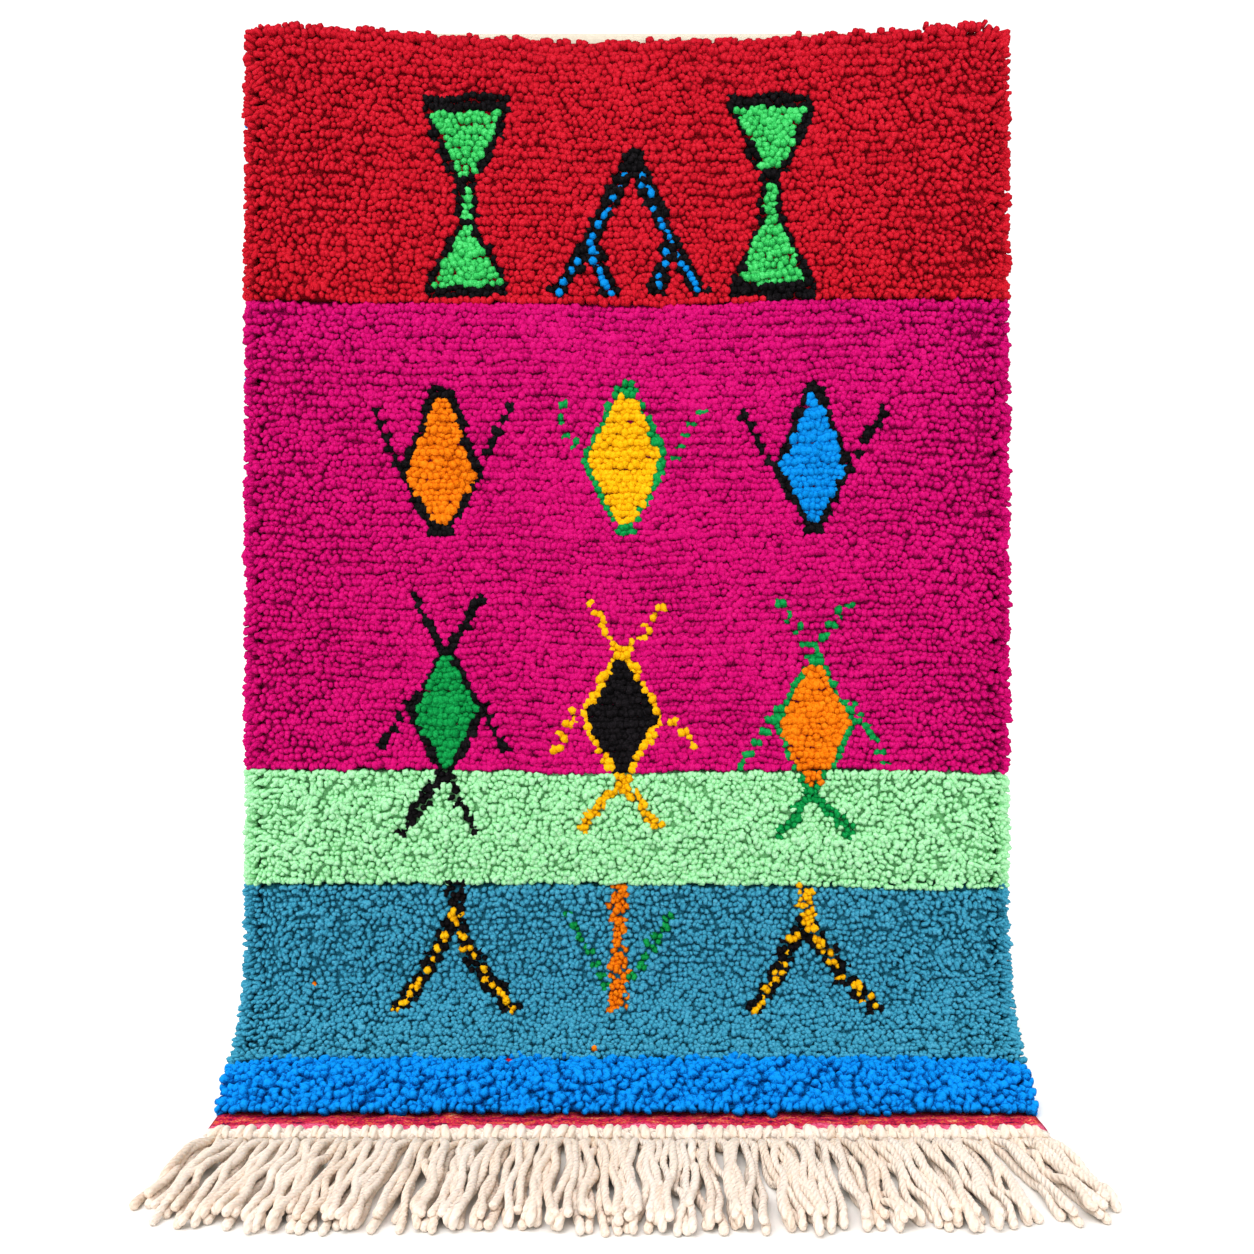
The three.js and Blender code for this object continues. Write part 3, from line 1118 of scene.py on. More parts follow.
@dataclass
class FootPile(Pile):
    """The last band: thick blue tufts that fan forward over the flat-woven end.

    Its path is where its tips lie, forward of the rug's back and above the floor.
    """

    yarn: Yarn = Yarn.BLUE
    start: float = 1392.0
    end: float = 1450.0
    rows: int = 11
    columns: int = 124
    width: float = 10.2
    shown: float = 16.0
    lie: Pair = (0.6, 0.95)
    narrow: float = 0.998
    spacing: float = 8.7
    run: float = 86.0
    sway_run: float = 90.0
    deepest: float = 4.0
    side_levels: int = 4
    side_steps: int = 9
    side_width: float = 10.5
    seed: int = 15
    path: tuple[Pair, ...] = (
        (89, 54), (101, 53), (113, 50), (125, 44), (137, 34), (149, 22), (159, 10)
    )

    def along_path(self, share: Numbers, inside: float) -> tuple[Numbers, Numbers]:
        """Find a place on the path of the tips, or some way inside it.

        Args:
            share: How far along the path, from 0 to 1.
            inside: How far inside the path, in millimetres.

        Returns:
            How far forward of the rug's back and above the floor it is.
        """
        stations = np.linspace(0, 1, len(self.path))
        forward, up = np.array(self.path, float).T
        slope_forward, slope_up = np.gradient(forward), np.gradient(up)
        steep = np.hypot(slope_forward, slope_up)
        forward = forward + inside * slope_up / steep
        up = up - inside * slope_forward / steep
        return np.interp(share, stations, forward), np.interp(share, stations, up)

    def foot_sides(self) -> Tufts:
        """Cover the two sides of the blue band, between the cloth and its own tips, with tufts.

        Returns:
            The tufts.
        """
        level, step = grid(np.arange(self.side_levels), np.arange(self.side_steps))
        share = (step + 0.35 + 0.3 * (level % 2)) / self.side_steps
        down = self.start + (self.end - self.start) * share
        low = self.shape.profile(down, self.shape.thickness + 2.0)
        high = self.along_path(share, 9.0)
        level = (level + 0.2) / self.side_levels
        forward, up = (below + (above - below) * level for below, above in zip(low, high))
        return self.outward(forward, up, self.side_width, self.yarn, self.seed + self.outward_seed)

    def tufts(self) -> Tufts:
        """Tie the tufts of the blue band.

        Returns:
            Its tufts.
        """
        random = np.random.default_rng(self.seed)
        row, column = grid(np.arange(self.rows), np.arange(self.columns))
        count = len(row)
        across = (column + 0.5 + 0.5 * (row % 2) - 0.25) / self.columns * 2 - 1
        across = np.clip(across, -0.998, 0.998) * self.half_width * self.narrow
        share = (row + 0.5) / self.rows
        down = self.start + (self.end - self.start) * (row + 0.5) / self.rows
        yarn = self.chart.yarns(across, down, np.full(count, self.yarn.number))
        aside, settled = settle(
            (across + random.normal(0, 1.8, count)).reshape(self.rows, self.columns),
            (share * self.run + random.normal(0, 1.8, count)).reshape(self.rows, self.columns),
            self.spacing, 1.0, 6,
        )
        aside -= across
        share = np.clip(settled / self.run, 0, 1)
        sway = wander(across, share * self.sway_run, 40, self.seed + 2)
        inside = 1.5 + 0.15 * sway + random.normal(0, 0.35, count)
        forward, up = self.along_path(share, 0.0)
        inner_forward, inner_up = self.along_path(share, 1.0)
        facing_forward, facing_up = forward - inner_forward, up - inner_up
        side = self.side.share(self.half_width - np.abs(across))
        inside += side * self.side.drop
        forward = forward - inside * facing_forward
        up = np.maximum(up - inside * facing_up, self.shape.thickness + 0.5 * self.width)
        aside += np.sign(across) * side * (10 - 4 * share) * random.uniform(0.8, 1.0, count)
        tip = self.shape.standing(across + aside, forward, up)

        # Tips near the flat end hang down over it, and those at the sides fan out.
        shown = self.shown * random.uniform(0.7, 1.3, count)
        fan, hang = side**self.side.fan, smooth_step(share, 0.72, 1.0)
        way = 2.2 * wander(across, share * self.sway_run, 80, self.seed + 3)
        way += random.normal(0, 0.7, count)
        lie = shown * random.uniform(*self.lie, count) * (1 - 0.6 * np.maximum(hang, fan))
        lean_across = lie * np.cos(way) + 0.7 * np.sign(across) * fan * shown - 5 * hang
        lean_along = lie * np.sin(way) + 0.75 * hang * shown
        lean = np.hypot(lean_across, lean_along)
        held = np.minimum(1, 0.98 * shown / lean)
        deep = np.minimum(np.sqrt(shown**2 - (lean * held) ** 2), self.deepest)
        foot_across = across + aside - lean_across * held
        foot_up = up - deep * facing_up + lean_along * held * facing_forward
        root = self.shape.standing(
            np.clip(foot_across, -self.root_half_width, self.root_half_width),
            forward - deep * facing_forward - lean_along * held * facing_up,
            np.maximum(foot_up, self.width * 0.4),
        )
        width = self.width * self.uneven(random, 0.12, count) * MM
        facing = np.column_stack([0 * forward, -facing_forward, facing_up])
        return Tufts(root, tip, facing, width, self.forms(Forms.THICK, random, count), yarn)


@dataclass
class TuftTying:
    """Puts a copy of a form at each tuft's place, and makes the copies one mesh.

    The creases are how far down a tuft painted shade reaches, as a share of its width.
    """

    crease: float = 0.24
    crease_lying: float = 0.36

    def __post_init__(self) -> None:
        """Shape every form once and lay out the nodes that copy them."""
        self.forms = bpy.data.collections.new("tuft_forms")
        for number, form in enumerate(form for forms in Forms for form in forms.value):
            name = f"tuft_form_{number:02d}"
            self.forms.objects.link(bpy.data.objects.new(name, form.mesh(name)))
        self.tree = self._nodes()

    def _nodes(self) -> Tree:
        """Copy the forms on to points, turned from root to tip and as long and wide as asked.

        Returns:
            The tree of nodes.
        """
        tree = bpy.data.node_groups.new("tied_tufts", "GeometryNodeTree")
        for side in ("INPUT", "OUTPUT"):
            tree.interface.new_socket("Geometry", in_out=side, socket_type="NodeSocketGeometry")
        entry = node(tree, "NodeGroupInput")
        listing = {"Collection": self.forms, "Separate Children": True, "Reset Children": True}
        forms = node(tree, "GeometryNodeCollectionInfo", listing)

        def named(name: str, kind: str) -> Socket:
            """Read one of the points' attributes."""
            read = node(tree, "GeometryNodeInputNamedAttribute", {"Name": name}, data_type=kind)
            return next(socket for socket in read.outputs if socket.name == "Attribute" and socket.enabled)

        reach = named("reach", "FLOAT_VECTOR")
        along = node(tree, "FunctionNodeAlignRotationToVector", {"Vector": reach}, axis="Z")
        own_axis = {"Axis": (0, 0, 1), "Angle": named("roll", "FLOAT")}
        roll = node(tree, "FunctionNodeAxisAngleToRotation", own_axis)
        turns = {0: along.outputs[0], 1: roll.outputs[0]}
        turned = node(tree, "FunctionNodeRotateRotation", turns, rotation_space="LOCAL")
        copies = node(
            tree,
            "GeometryNodeInstanceOnPoints",
            {
                "Points": entry.outputs[0],
                "Instance": forms.outputs[0],
                "Pick Instance": True,
                "Instance Index": named("form", "INT"),
                "Rotation": turned.outputs[0],
                "Scale": named("size", "FLOAT_VECTOR"),
            },
        )
        real = node(tree, "GeometryNodeRealizeInstances", {"Geometry": copies.outputs[0]})
        node(tree, "NodeGroupOutput", {0: real.outputs[0]})
        return tree

    def tie(self, name: str, tufts: Tufts, material: bpy.types.Material) -> bpy.types.Object:
        """Make one piece from tufts of one yarn.

        Args:
            name: The piece's name.
            tufts: Its tufts.
            material: Its finish.

        Returns:
            The piece.
        """
        random = np.random.default_rng(len(tufts.root))
        count = len(tufts.root)
        reach = tufts.tip - tufts.root
        length = np.linalg.norm(reach, axis=1)
        oval = random.uniform(0.84, 1.2, count)
        across = math.ceil(math.sqrt(count))
        cell = np.stack([np.arange(count) % across + 0.5, np.arange(count) // across + 0.5], 1) / across
        upright = np.sum(reach * tufts.facing, axis=1) / length
        crease = self.crease + (self.crease_lying - self.crease) * (1 - np.minimum(upright**2, 1))
        points = bpy.data.meshes.new(name)
        points.vertices.add(count)
        points.vertices.foreach_set("co", tufts.root.ravel())
        columns = {
            "reach": ("FLOAT_VECTOR", reach),
            "facing": ("FLOAT_VECTOR", tufts.facing),
            "crease": ("FLOAT", tufts.width * crease),
            "size": ("FLOAT_VECTOR", np.stack([tufts.width * oval, tufts.width / oval, length], 1)),
            "cell": ("FLOAT_VECTOR", np.column_stack([cell, np.full(count, 1 / across)])),
            "roll": ("FLOAT", random.uniform(0, math.tau, count)),
            "shade": ("FLOAT", random.normal(0, 1, count)),
            "form": ("INT", tufts.form),
            "tuft": ("INT", np.arange(count)),
        }
        for key, (kind, values) in columns.items():
            made = points.attributes.new(key, kind, "POINT")
            made.data.foreach_set("vector" if kind == "FLOAT_VECTOR" else "value", values.ravel())
        source = new_object(name, points)
        source.modifiers.new("tied", "NODES").node_group = self.tree
        mesh = as_mesh(source, name)
        self._map(mesh)
        self._crown(mesh)
        for key in columns:
            if key != "shade":
                mesh.attributes.remove(mesh.attributes[key])
        mesh.materials.clear()
        mesh.materials.append(material)
        return new_object(name, mesh)

    @staticmethod
    def _map(mesh: bpy.types.Mesh) -> None:
        """Give each tuft a cell of its own in the map that the finish can be baked through.

        Args:
            mesh: The mesh of all tufts.
        """
        disc = read_all(mesh.uv_layers["disc"].uv, "vector", 2)
        vertex = read_all(mesh.loops, "vertex_index", 1, int)
        cell = read_all(mesh.attributes["cell"].data, "vector", 3)[vertex]
        places = cell[:, :2] + disc * cell[:, 2:]
        mesh.uv_layers.new(name="OFBake").uv.foreach_set("vector", places.ravel())
        mesh.uv_layers.remove(mesh.uv_layers["disc"])

    @staticmethod
    def _crown(mesh: bpy.types.Mesh) -> None:
        """Note how far below its tuft's highest point each point is, from 1 at it to 0, which the finish
        paints as light at the crown and as shade below it.

        Args:
            mesh: The mesh of all tufts.
        """
        facing = read_all(mesh.attributes["facing"].data, "vector", 3)
        tuft = read_all(mesh.attributes["tuft"].data, "value", 1, int)
        crease = read_all(mesh.attributes["crease"].data, "value", 1)
        places = read_all(mesh.vertices, "co", 3)
        level = np.sum(facing * places, axis=1)
        top = np.full(tuft.max() + 1, -np.inf)
        np.maximum.at(top, tuft, level)
        set_values(mesh, "crown", np.clip(1 - (top[tuft] - level) / crease, 0, 1))

    def put_away(self) -> None:
        """Delete the forms once every tuft is tied."""
        for obj in list(self.forms.objects):
            bpy.data.objects.remove(obj)
        bpy.data.collections.remove(self.forms)
        bpy.data.node_groups.remove(self.tree)


class Finish:
    """A material in the making, with the kinds of node that the wools' finishes share."""

    def __init__(self, name: str) -> None:
        """Start a material with nothing in its tree.

        Args:
            name: The material's name.
        """
        self.made = bpy.data.materials.new(name)
        self.made.use_nodes = True
        self.tree = self.made.node_tree
        self.tree.nodes.clear()

    def add(self, kind: str, inputs: Mapping | None = None, **settings: object) -> bpy.types.Node:
        """Add a shader node, set up and filled as node() does."""
        return node(self.tree, f"ShaderNode{kind}", inputs, **settings)

    def place(self) -> Socket:
        """Read places on the object, in metres."""
        return self.add("TexCoord").outputs["Object"]

    def mapped(self, name: str) -> Socket:
        """Read places in one of the mesh's maps."""
        return self.add("UVMap", uv_map=name).outputs[0]

    def attribute(self, name: str, output: str = "Fac") -> Socket:
        """Read one of the mesh's attributes."""
        return self.add("Attribute", attribute_name=name).outputs[output]

    def noise(self, place: Socket, scale: float, detail: float, roughness: float = 0.5) -> bpy.types.Node:
        """Add soft lumps, by how many there are in a unit and how much finer ones lie on them."""
        inputs = {"Vector": place, "Scale": scale, "Detail": detail, "Roughness": roughness}
        return self.add("TexNoise", inputs)

    def ridges(self, place: Socket, scale: float, way: str, distortion: float = 0.0) -> Socket:
        """Add even ridges, one after another along an axis of the place."""
        inputs = {"Vector": place, "Scale": scale, "Distortion": distortion}
        return self.add("TexWave", inputs, bands_direction=way).outputs["Fac"]

    def vector(self, operation: str, *values: Socket | tuple[float, float, float]) -> bpy.types.Node:
        """Work out a vector from one to three others."""
        return self.add("VectorMath", dict(enumerate(values)), operation=operation)

    def part(self, vector: Socket, number: int) -> Socket:
        """Take one of a vector's three numbers."""
        return self.add("SeparateXYZ", {0: vector}).outputs[number]

    def maths(self, operation: str, *values: Socket | float) -> Socket:
        """Work out a value from one to three others."""
        return self.add("Math", dict(enumerate(values)), operation=operation).outputs[0]

    def layered(self, base: float, *layers: tuple[Socket, float]) -> Socket:
        """Add up a tone.

        Args:
            base: The value to which layers are added.
            *layers: Values and the weight of each.

        Returns:
            The tone.
        """
        total: Socket | float = base
        for layer, weight in layers:
            total = self.maths("MULTIPLY_ADD", layer, weight, total)
        return total

    def mixed(self, share: Socket, first: Socket | tuple, second: Socket | tuple) -> Socket:
        """Mix two colours."""
        return self.add("Mix", {0: share, 6: first, 7: second}, data_type="RGBA").outputs[2]

    def ramp(self, tone: Socket, *stops: tuple[float, str], kind: str = "LINEAR") -> Socket:
        """Turn a tone into a colour.

        Args:
            tone: The tone, from 0 to 1.
            *stops: Tones and the colours that they have.
            kind: How colours go over into each other between stops.

        Returns:
            The colour.
        """
        made = self.add("ValToRGB", {0: tone})
        made.color_ramp.interpolation = kind
        elements = made.color_ramp.elements
        while len(elements) < len(stops):
            elements.new(0.5)
        for element, (position, colour) in zip(elements, stops):
            element.position = position
            element.color = linear(colour)
        return made.outputs[0]

    def bump(self, height: Socket, strength: float, depth: float, **settings: object) -> Socket:
        """Raise the surface by a height, over a depth in millimetres."""
        inputs = {"Strength": strength, "Distance": depth * MM, "Height": height}
        return self.add("Bump", inputs, **settings).outputs[0]

    def wool(
        self,
        colour: Socket,
        relief: Socket,
        roughness: float,
        gloss: float,
        sheen: Mapping[str, object] | None = None,
    ) -> bpy.types.Material:
        """Close the material with a shader for wool.

        Args:
            colour: Its colour.
            relief: Its bumps.
            roughness: How matt it is.
            gloss: Its specular level.
            sheen: Values of the shader's sheen.

        Returns:
            The finished material.
        """
        inputs = {"Base Color": colour, "Roughness": roughness, "IOR": 1.5, "Specular IOR Level": gloss}
        shader = self.add("BsdfPrincipled", {**inputs, "Normal": relief, **(sheen or {})})
        self.add("OutputMaterial", {0: shader.outputs[0]})
        return self.made


@dataclass(frozen=True)
class PileWool:
    """Hand-spun wool yarn, dyed and cut: matt, soft-edged, with painted shade where its fibres part and
    painted light on the tufts' crowns.
    """

    name: str
    # deep is the yarn in painted shade down between tufts, light the yarn in painted light on their crowns;
    # the fibres' specks reach both as well.
    deep: str
    body: str
    light: str
    sheen: float = 0.12
    fibre: float = 2.0 * MM
    dye_drift: float = 90 * MM

    def material(self) -> bpy.types.Material:
        """Build the finish.

        Returns:
            The material.
        """
        finish = Finish(self.name)
        place = finish.place()
        # Loose fibres catch the light in specks: real ones are 0.04 mm wide, drawn coarser to show.
        fibres = finish.noise(place, 1 / self.fibre, 2.0, 0.7).outputs["Fac"]
        # Hand-dyed hanks differ a little from one stretch of the rug to the next.
        drift = finish.noise(place, 1 / self.dye_drift, 1.0).outputs["Fac"]
        shade = finish.attribute("shade")
        # Painted shade and light: between the tufts' ends the yarn is painted darker, and the crowns are
        # painted lightest.
        crown = finish.attribute("crown")
        tone = finish.layered(-0.65, (fibres, 1.5), (drift, 0.06), (shade, 0.05), (crown, 0.55))
        colour = finish.ramp(tone, (0.0, self.deep), (0.5, self.body), (1.0, self.light))
        sheen = {"Sheen Weight": self.sheen, "Sheen Roughness": 0.45, "Sheen Tint": linear(self.light)}
        return finish.wool(colour, finish.bump(fibres, 0.8, 1.6), 0.92, 0.06, sheen)


# Each yarn's first colour is its painted shade, the middle one its own colour and the last its painted
# light.
YARN_FINISHES = {
    Yarn.RED: PileWool("wool_yarn_dyed_red", "66050e", "c81326", "e02a3e"),
    Yarn.MAGENTA: PileWool("wool_yarn_dyed_magenta", "660030", "cc056c", "e21e80"),
    Yarn.MINT: PileWool("wool_yarn_dyed_mint", "74c67c", "a8eeb2", "caf8cc"),
    Yarn.TEAL: PileWool("wool_yarn_dyed_teal", "10566c", "3a98b8", "5cb4d2"),
    Yarn.BLUE: PileWool("roving_wool_dyed_blue", "003e8c", "0590ee", "14a2fc"),
    Yarn.BLACK: PileWool("wool_yarn_dyed_black", "030303", "0e0c0e", "242024"),
    Yarn.LIGHT_GREEN: PileWool("wool_yarn_dyed_light_green", "107834", "38c860", "6cf08e"),
    Yarn.EMERALD: PileWool("wool_yarn_dyed_emerald", "004c22", "088f42", "20b45c"),
    Yarn.ORANGE: PileWool("wool_yarn_dyed_orange", "a04000", "f07806", "fe9a1c"),
    Yarn.GOLD: PileWool("wool_yarn_dyed_gold", "b87600", "fab604", "ffd220"),
    Yarn.AZURE: PileWool("wool_yarn_dyed_azure", "005090", "038ae0", "149cee"),
}


@dataclass(frozen=True)
class PlainWeave:
    """Undyed weft beaten down between rows of knots, whose yarn shows on both faces."""

    name: str = "wool_weft_and_knots"
    weft: str = "e6dcc8"
    shade: str = "a89878"
    knot_share: float = 0.42
    picks: float = 2.2
    warps: float = 0.3183

    def material(self) -> bpy.types.Material:
        """Build the finish, which reads a map of knots across and rows down.

        Returns:
            The material.
        """
        finish = Finish(self.name)
        place = finish.mapped("weave")
        knot = finish.attribute("knot", "Color")
        # A row of knots fills part of the way to the next, and weft the rest.
        phase = finish.maths("FRACT", finish.part(place, 1))
        is_row = finish.maths("LESS_THAN", phase, self.knot_share)
        is_pile_side = finish.attribute("knot", "Alpha")
        is_knot = finish.maths("MAXIMUM", is_row, is_pile_side)
        # Each knot shows as a pair of small bumps, and each pick of weft as a fine ridge.
        picks = finish.ridges(place, self.picks, "Y", 0.8)
        warps = finish.ridges(place, self.warps, "X")
        relief = finish.maths("MULTIPLY_ADD", picks, 0.6, warps)
        weft = finish.mixed(picks, linear(self.shade), linear(self.weft))
        colour = finish.mixed(is_knot, weft, knot)
        return finish.wool(colour, finish.bump(relief, 0.6, 1.0), 0.95, 0.1)


@dataclass(frozen=True)
class MixedWeft:
    """A weft-faced band woven from odd lengths of yarn, whose stitches change colour at random."""

    name: str = "wool_weft_mixed_colours"
    stitch: float = 2.4
    pick: float = 2.2
    sway: float = 16.0
    pink_from: float = 1508.0
    pink_to: float = 1513.0
    tones: float = 1.5
    stops: tuple[tuple[float, str], ...] = (
        (0.0, "4c0c34"),
        (0.42, "80123c"),
        (0.6, "b81838"),
        (0.78, "dc2450"),
        (0.98, "b42c34"),
        (1.06, "e4703c"),
        (1.16, "e0384c"),
        (1.3, "f09c70"),
    )

    def material(self) -> bpy.types.Material:
        """Build the finish, which reads a map of millimetres across and down the band.

        Returns:
            The material.
        """
        finish = Finish(self.name)
        place = finish.mapped("weave")
        # Picks of weft run in waves, since the warps are not pulled evenly.
        sway = finish.noise(place, 0.018, 1.0).outputs["Color"]
        shift = finish.vector("MULTIPLY_ADD", sway, (0.0, self.sway, 0.0), place).outputs[0]
        per_stitch = (1 / self.stitch, 1 / self.pick, 1.0)
        stitches = finish.vector("MULTIPLY", shift, per_stitch).outputs[0]
        cell = finish.add("TexVoronoi", {"Vector": stitches, "Scale": 1.0, "Randomness": 0.5})
        own = finish.part(cell.outputs["Color"], 0)
        # The mix goes by patches: more purple here, more ochre there, and pink at the very end.
        streak = finish.vector("MULTIPLY", shift, (0.8, 2.2, 1.0)).outputs[0]
        patches = finish.noise(streak, 0.05, 3.0).outputs["Fac"]
        ends = {"Value": finish.part(shift, 1), "From Min": self.pink_from, "From Max": self.pink_to}
        is_end = finish.add("MapRange", ends).outputs[0]
        tone = finish.layered(-0.42, (patches, 2.0), (own, 0.55))
        stops = ((position / self.tones, colour) for position, colour in self.stops)
        mix = finish.ramp(finish.maths("DIVIDE", tone, self.tones), *stops, kind="CONSTANT")
        pink = finish.ramp(own, (0.0, "d82858"), (1.0, "fc789c"))
        relief = finish.bump(cell.outputs["Distance"], 0.8, 1.2, invert=True)
        return finish.wool(finish.mixed(is_end, mix, pink), relief, 0.9, 0.1)


@dataclass(frozen=True)
class PliedWool:
    """Undyed wool spun thick and plied: cream, warmer and darker where it lies in shade."""

    name: str = "wool_plied_undyed"
    # dark is the wool in painted shade under the bar; deep is reached by the grease patches and by painted
    # shade.
    dark: str = "4a3420"
    deep: str = "c09c74"
    body: str = "f6e3d0"
    light: str = "fffaf4"
    plies: int = 3
    ply_pitch: float = 20.0

    def material(self) -> bpy.types.Material:
        """Build the finish, which reads a map of turns round a strand and millimetres along it.

        Returns:
            The material.
        """
        finish = Finish(self.name)
        place = finish.place()
        fibres = finish.noise(place, 420.0, 3.0, 0.6).outputs["Fac"]
        # Grease and dust stay in patches of a hand's breadth.
        patches = finish.noise(place, 22.0, 2.0).outputs["Fac"]
        shade = finish.attribute("shade")
        # The furrows between a strand's plies run round it and hold shade.
        per_turn = (self.plies * math.tau, math.tau / self.ply_pitch, 0.0)
        phase = finish.vector("DOT_PRODUCT", finish.mapped("ply"), per_turn).outputs["Value"]
        ridge = finish.maths("SINE", phase)
        tone = finish.layered(0.34, (fibres, 0.3), (patches, 0.15), (shade, 0.1), (ridge, 0.045))
        colour = finish.ramp(tone, (0.0, self.dark), (0.22, self.deep), (0.5, self.body), (0.9, self.light))
        relief = finish.maths("MULTIPLY_ADD", ridge, 0.55, fibres)
        return finish.wool(colour, finish.bump(relief, 0.7, 1.4), 0.9, 0.15, {"Sheen Weight": 0.1})


@dataclass
class SheetForm:
    """A closed sheet that runs from side to side of the rug, by the lines of its two faces.

    Each row of a face is how far forward of the rug's back and how far above the floor it is. The
    edge gives places in from a side and the share of the thickness that the sheet has there.
    """

    down: Numbers
    front: Numbers
    back: Numbers
    half_width: float
    columns: int
    edge: tuple[Pair, ...]
    rise: float = 0.0
    waves: float = 0.0
    rise_ends: float = 360.0
    wave_length: float = 70.0
    narrowing: float = 2.0
    narrows_from: float = 1430.0
    narrows_to: float = 1527.0

    def build(self, name: str, shape: RugShape) -> bpy.types.Object:
        """Bend a grid round the two faces and weld it.

        Args:
            name: The piece's name.
            shape: The surface that the rug follows.

        Returns:
            The closed sheet, with a map named "weave" of millimetres across and down.
        """
        bm = bmesh.new()
        for layer in ("OFBake", "weave"):
            bm.loops.layers.uv.new(layer)
        last = len(self.down) - 1
        bmesh.ops.create_grid(bm, x_segments=2 * self.columns, y_segments=last, size=0.5, calc_uvs=True)
        places = np.array([vert.co for vert in bm.verts]) + 0.5
        around = np.rint(places[:, 0] * 2 * self.columns).astype(int)
        row = np.rint(places[:, 1] * last).astype(int)
        down = self.down[row]
        column = np.minimum(around, 2 * self.columns - around)
        across = (column / self.columns * 2 - 1) * self.half_width
        narrow = smooth_step(down, self.narrows_from, self.narrows_to)
        across *= 1 - self.narrowing / self.half_width * narrow
        inside, share = np.array(self.edge).T
        thick = np.interp(self.half_width - np.abs(across), inside, share)
        is_front = around > self.columns
        is_rim = (column == 0) | (column == self.columns) | (row == 0) | (row == last)
        thick = np.where(is_rim, thick / 2, np.where(is_front, thick, 0.0))[:, None]
        forward, up = (self.back[row] * (1 - thick) + self.front[row] * thick).T
        bowed = (across / self.half_width) ** 2
        up = up + self.rise * bowed * np.clip(1 - down / self.rise_ends, 0, 1)
        up = up + self.waves * np.maximum(wander(across, down, self.wave_length, 51), 0)
        for vert, place in zip(bm.verts, shape.standing(across, forward, up)):
            vert.co = place
        self._map(bm)
        bmesh.ops.remove_doubles(bm, verts=bm.verts, dist=0.01 * MM)
        bmesh.ops.recalc_face_normals(bm, faces=bm.faces)
        return new_object(name, to_mesh(bm, bpy.data.meshes.new(name)))

    def _map(self, bm: bmesh.types.BMesh) -> None:
        """Keep the grid's own map for baking, and fill one in millimetres across and down.

        Args:
            bm: The sheet, whose map still is the grid's.
        """
        bake, weave = (bm.loops.layers.uv[name] for name in ("OFBake", "weave"))
        stations = np.linspace(0, 1, len(self.down))
        for face in bm.faces:
            for loop in face.loops:
                around, share = loop[bake].uv
                across = (4 * min(around, 1 - around) - 1) * self.half_width
                loop[weave].uv = (across, float(np.interp(share, stations, self.down)))


@dataclass
class Cloth:
    """The woven ground as a closed sheet, and the flat-woven end that it runs out into."""

    shape: RugShape
    chart: Chart
    columns: int = 76
    pile_end: float = 1456.0
    end_start: float = 1452.0
    end_columns: int = 130
    end_rows: int = 14
    end_waves: float = 1.2
    rim: float = 0.8
    selvedge: tuple[Pair, ...] = ((0, 1.7), (4.0, 1.7), (8.0, 1.0))

    def sheet(self, down: Numbers, columns: int, waves: float) -> SheetForm:
        """Lay out a piece of the cloth.

        Args:
            down: How far down the rug its rows are.
            columns: How many columns it has.
            waves: How high its ripples are, in millimetres.

        Returns:
            The form of the piece.
        """
        front = np.column_stack(self.shape.profile(down, self.shape.thickness))
        back = np.column_stack(self.shape.profile(down, 0.0))
        rise = self.shape.corner_rise
        return SheetForm(down, front, back, self.shape.half_width, columns, self.selvedge, rise, waves)

    def ground(self) -> bpy.types.Object:
        """Weave the ground that carries the pile.

        Returns:
            The piece.
        """
        rows = [-self.rim, 0.0]
        for band in BANDS:
            rows.extend(np.linspace(band.start, band.end, band.rows, endpoint=False))
        rows.extend(np.linspace(FootPile.start, FootPile.end, 5))
        rows = np.array([*rows, self.pile_end, self.pile_end + 1])
        piece = self.sheet(rows, self.columns, 0.0).build("ground_cloth", self.shape)
        self._tie_colours(piece.data, rows)
        piece.data.materials.append(PlainWeave().material())
        return piece

    def _tie_colours(self, mesh: bpy.types.Mesh, rows: Numbers) -> None:
        """Give each face the colour of its knot, and count the weave map in knots and rows.

        Args:
            mesh: The ground cloth.
            rows: How far down the rug its rows are.
        """
        places = read_all(mesh.uv_layers["weave"].uv, "vector", 2)
        across, down = places.reshape(-1, 4, 2).mean(1).T
        ground = np.full(len(across), Yarn.BLUE.number)
        for band in reversed(BANDS):
            ground[down < band.end] = band.yarn.number
        numbers = self.chart.yarns(across, down, ground)
        colours = np.array([linear(YARN_FINISHES[yarn].body) for yarn in Yarn])[numbers]
        # The grid's first half runs over the back of the rug, and its second under the pile.
        around = read_all(mesh.uv_layers["OFBake"].uv, "vector", 2).reshape(-1, 4, 2).mean(1)[:, 0]
        colours[:, 3] = around > 0.5
        colours[down < BANDS[0].start] = linear(PlainWeave().weft)
        made = mesh.attributes.new("knot", "FLOAT_COLOR", "FACE")
        made.data.foreach_set("color", colours.ravel())
        places[:, 0] *= self.columns / (2 * self.shape.half_width)
        places[:, 1] = np.interp(places[:, 1], rows, np.arange(len(rows)))
        mesh.uv_layers["weave"].uv.foreach_set("vector", places.ravel())

    def flat_end(self) -> bpy.types.Object:
        """Weave the flat end below the pile.

        Returns:
            The piece.
        """
        rows = np.linspace(self.end_start, self.shape.end - 1, self.end_rows)
        rows = np.array([self.end_start - self.rim, *rows, self.shape.end])
        piece = self.sheet(rows, self.end_columns, self.end_waves).build("flat_woven_end", self.shape)
        piece.data.materials.append(MixedWeft().material())
        return piece


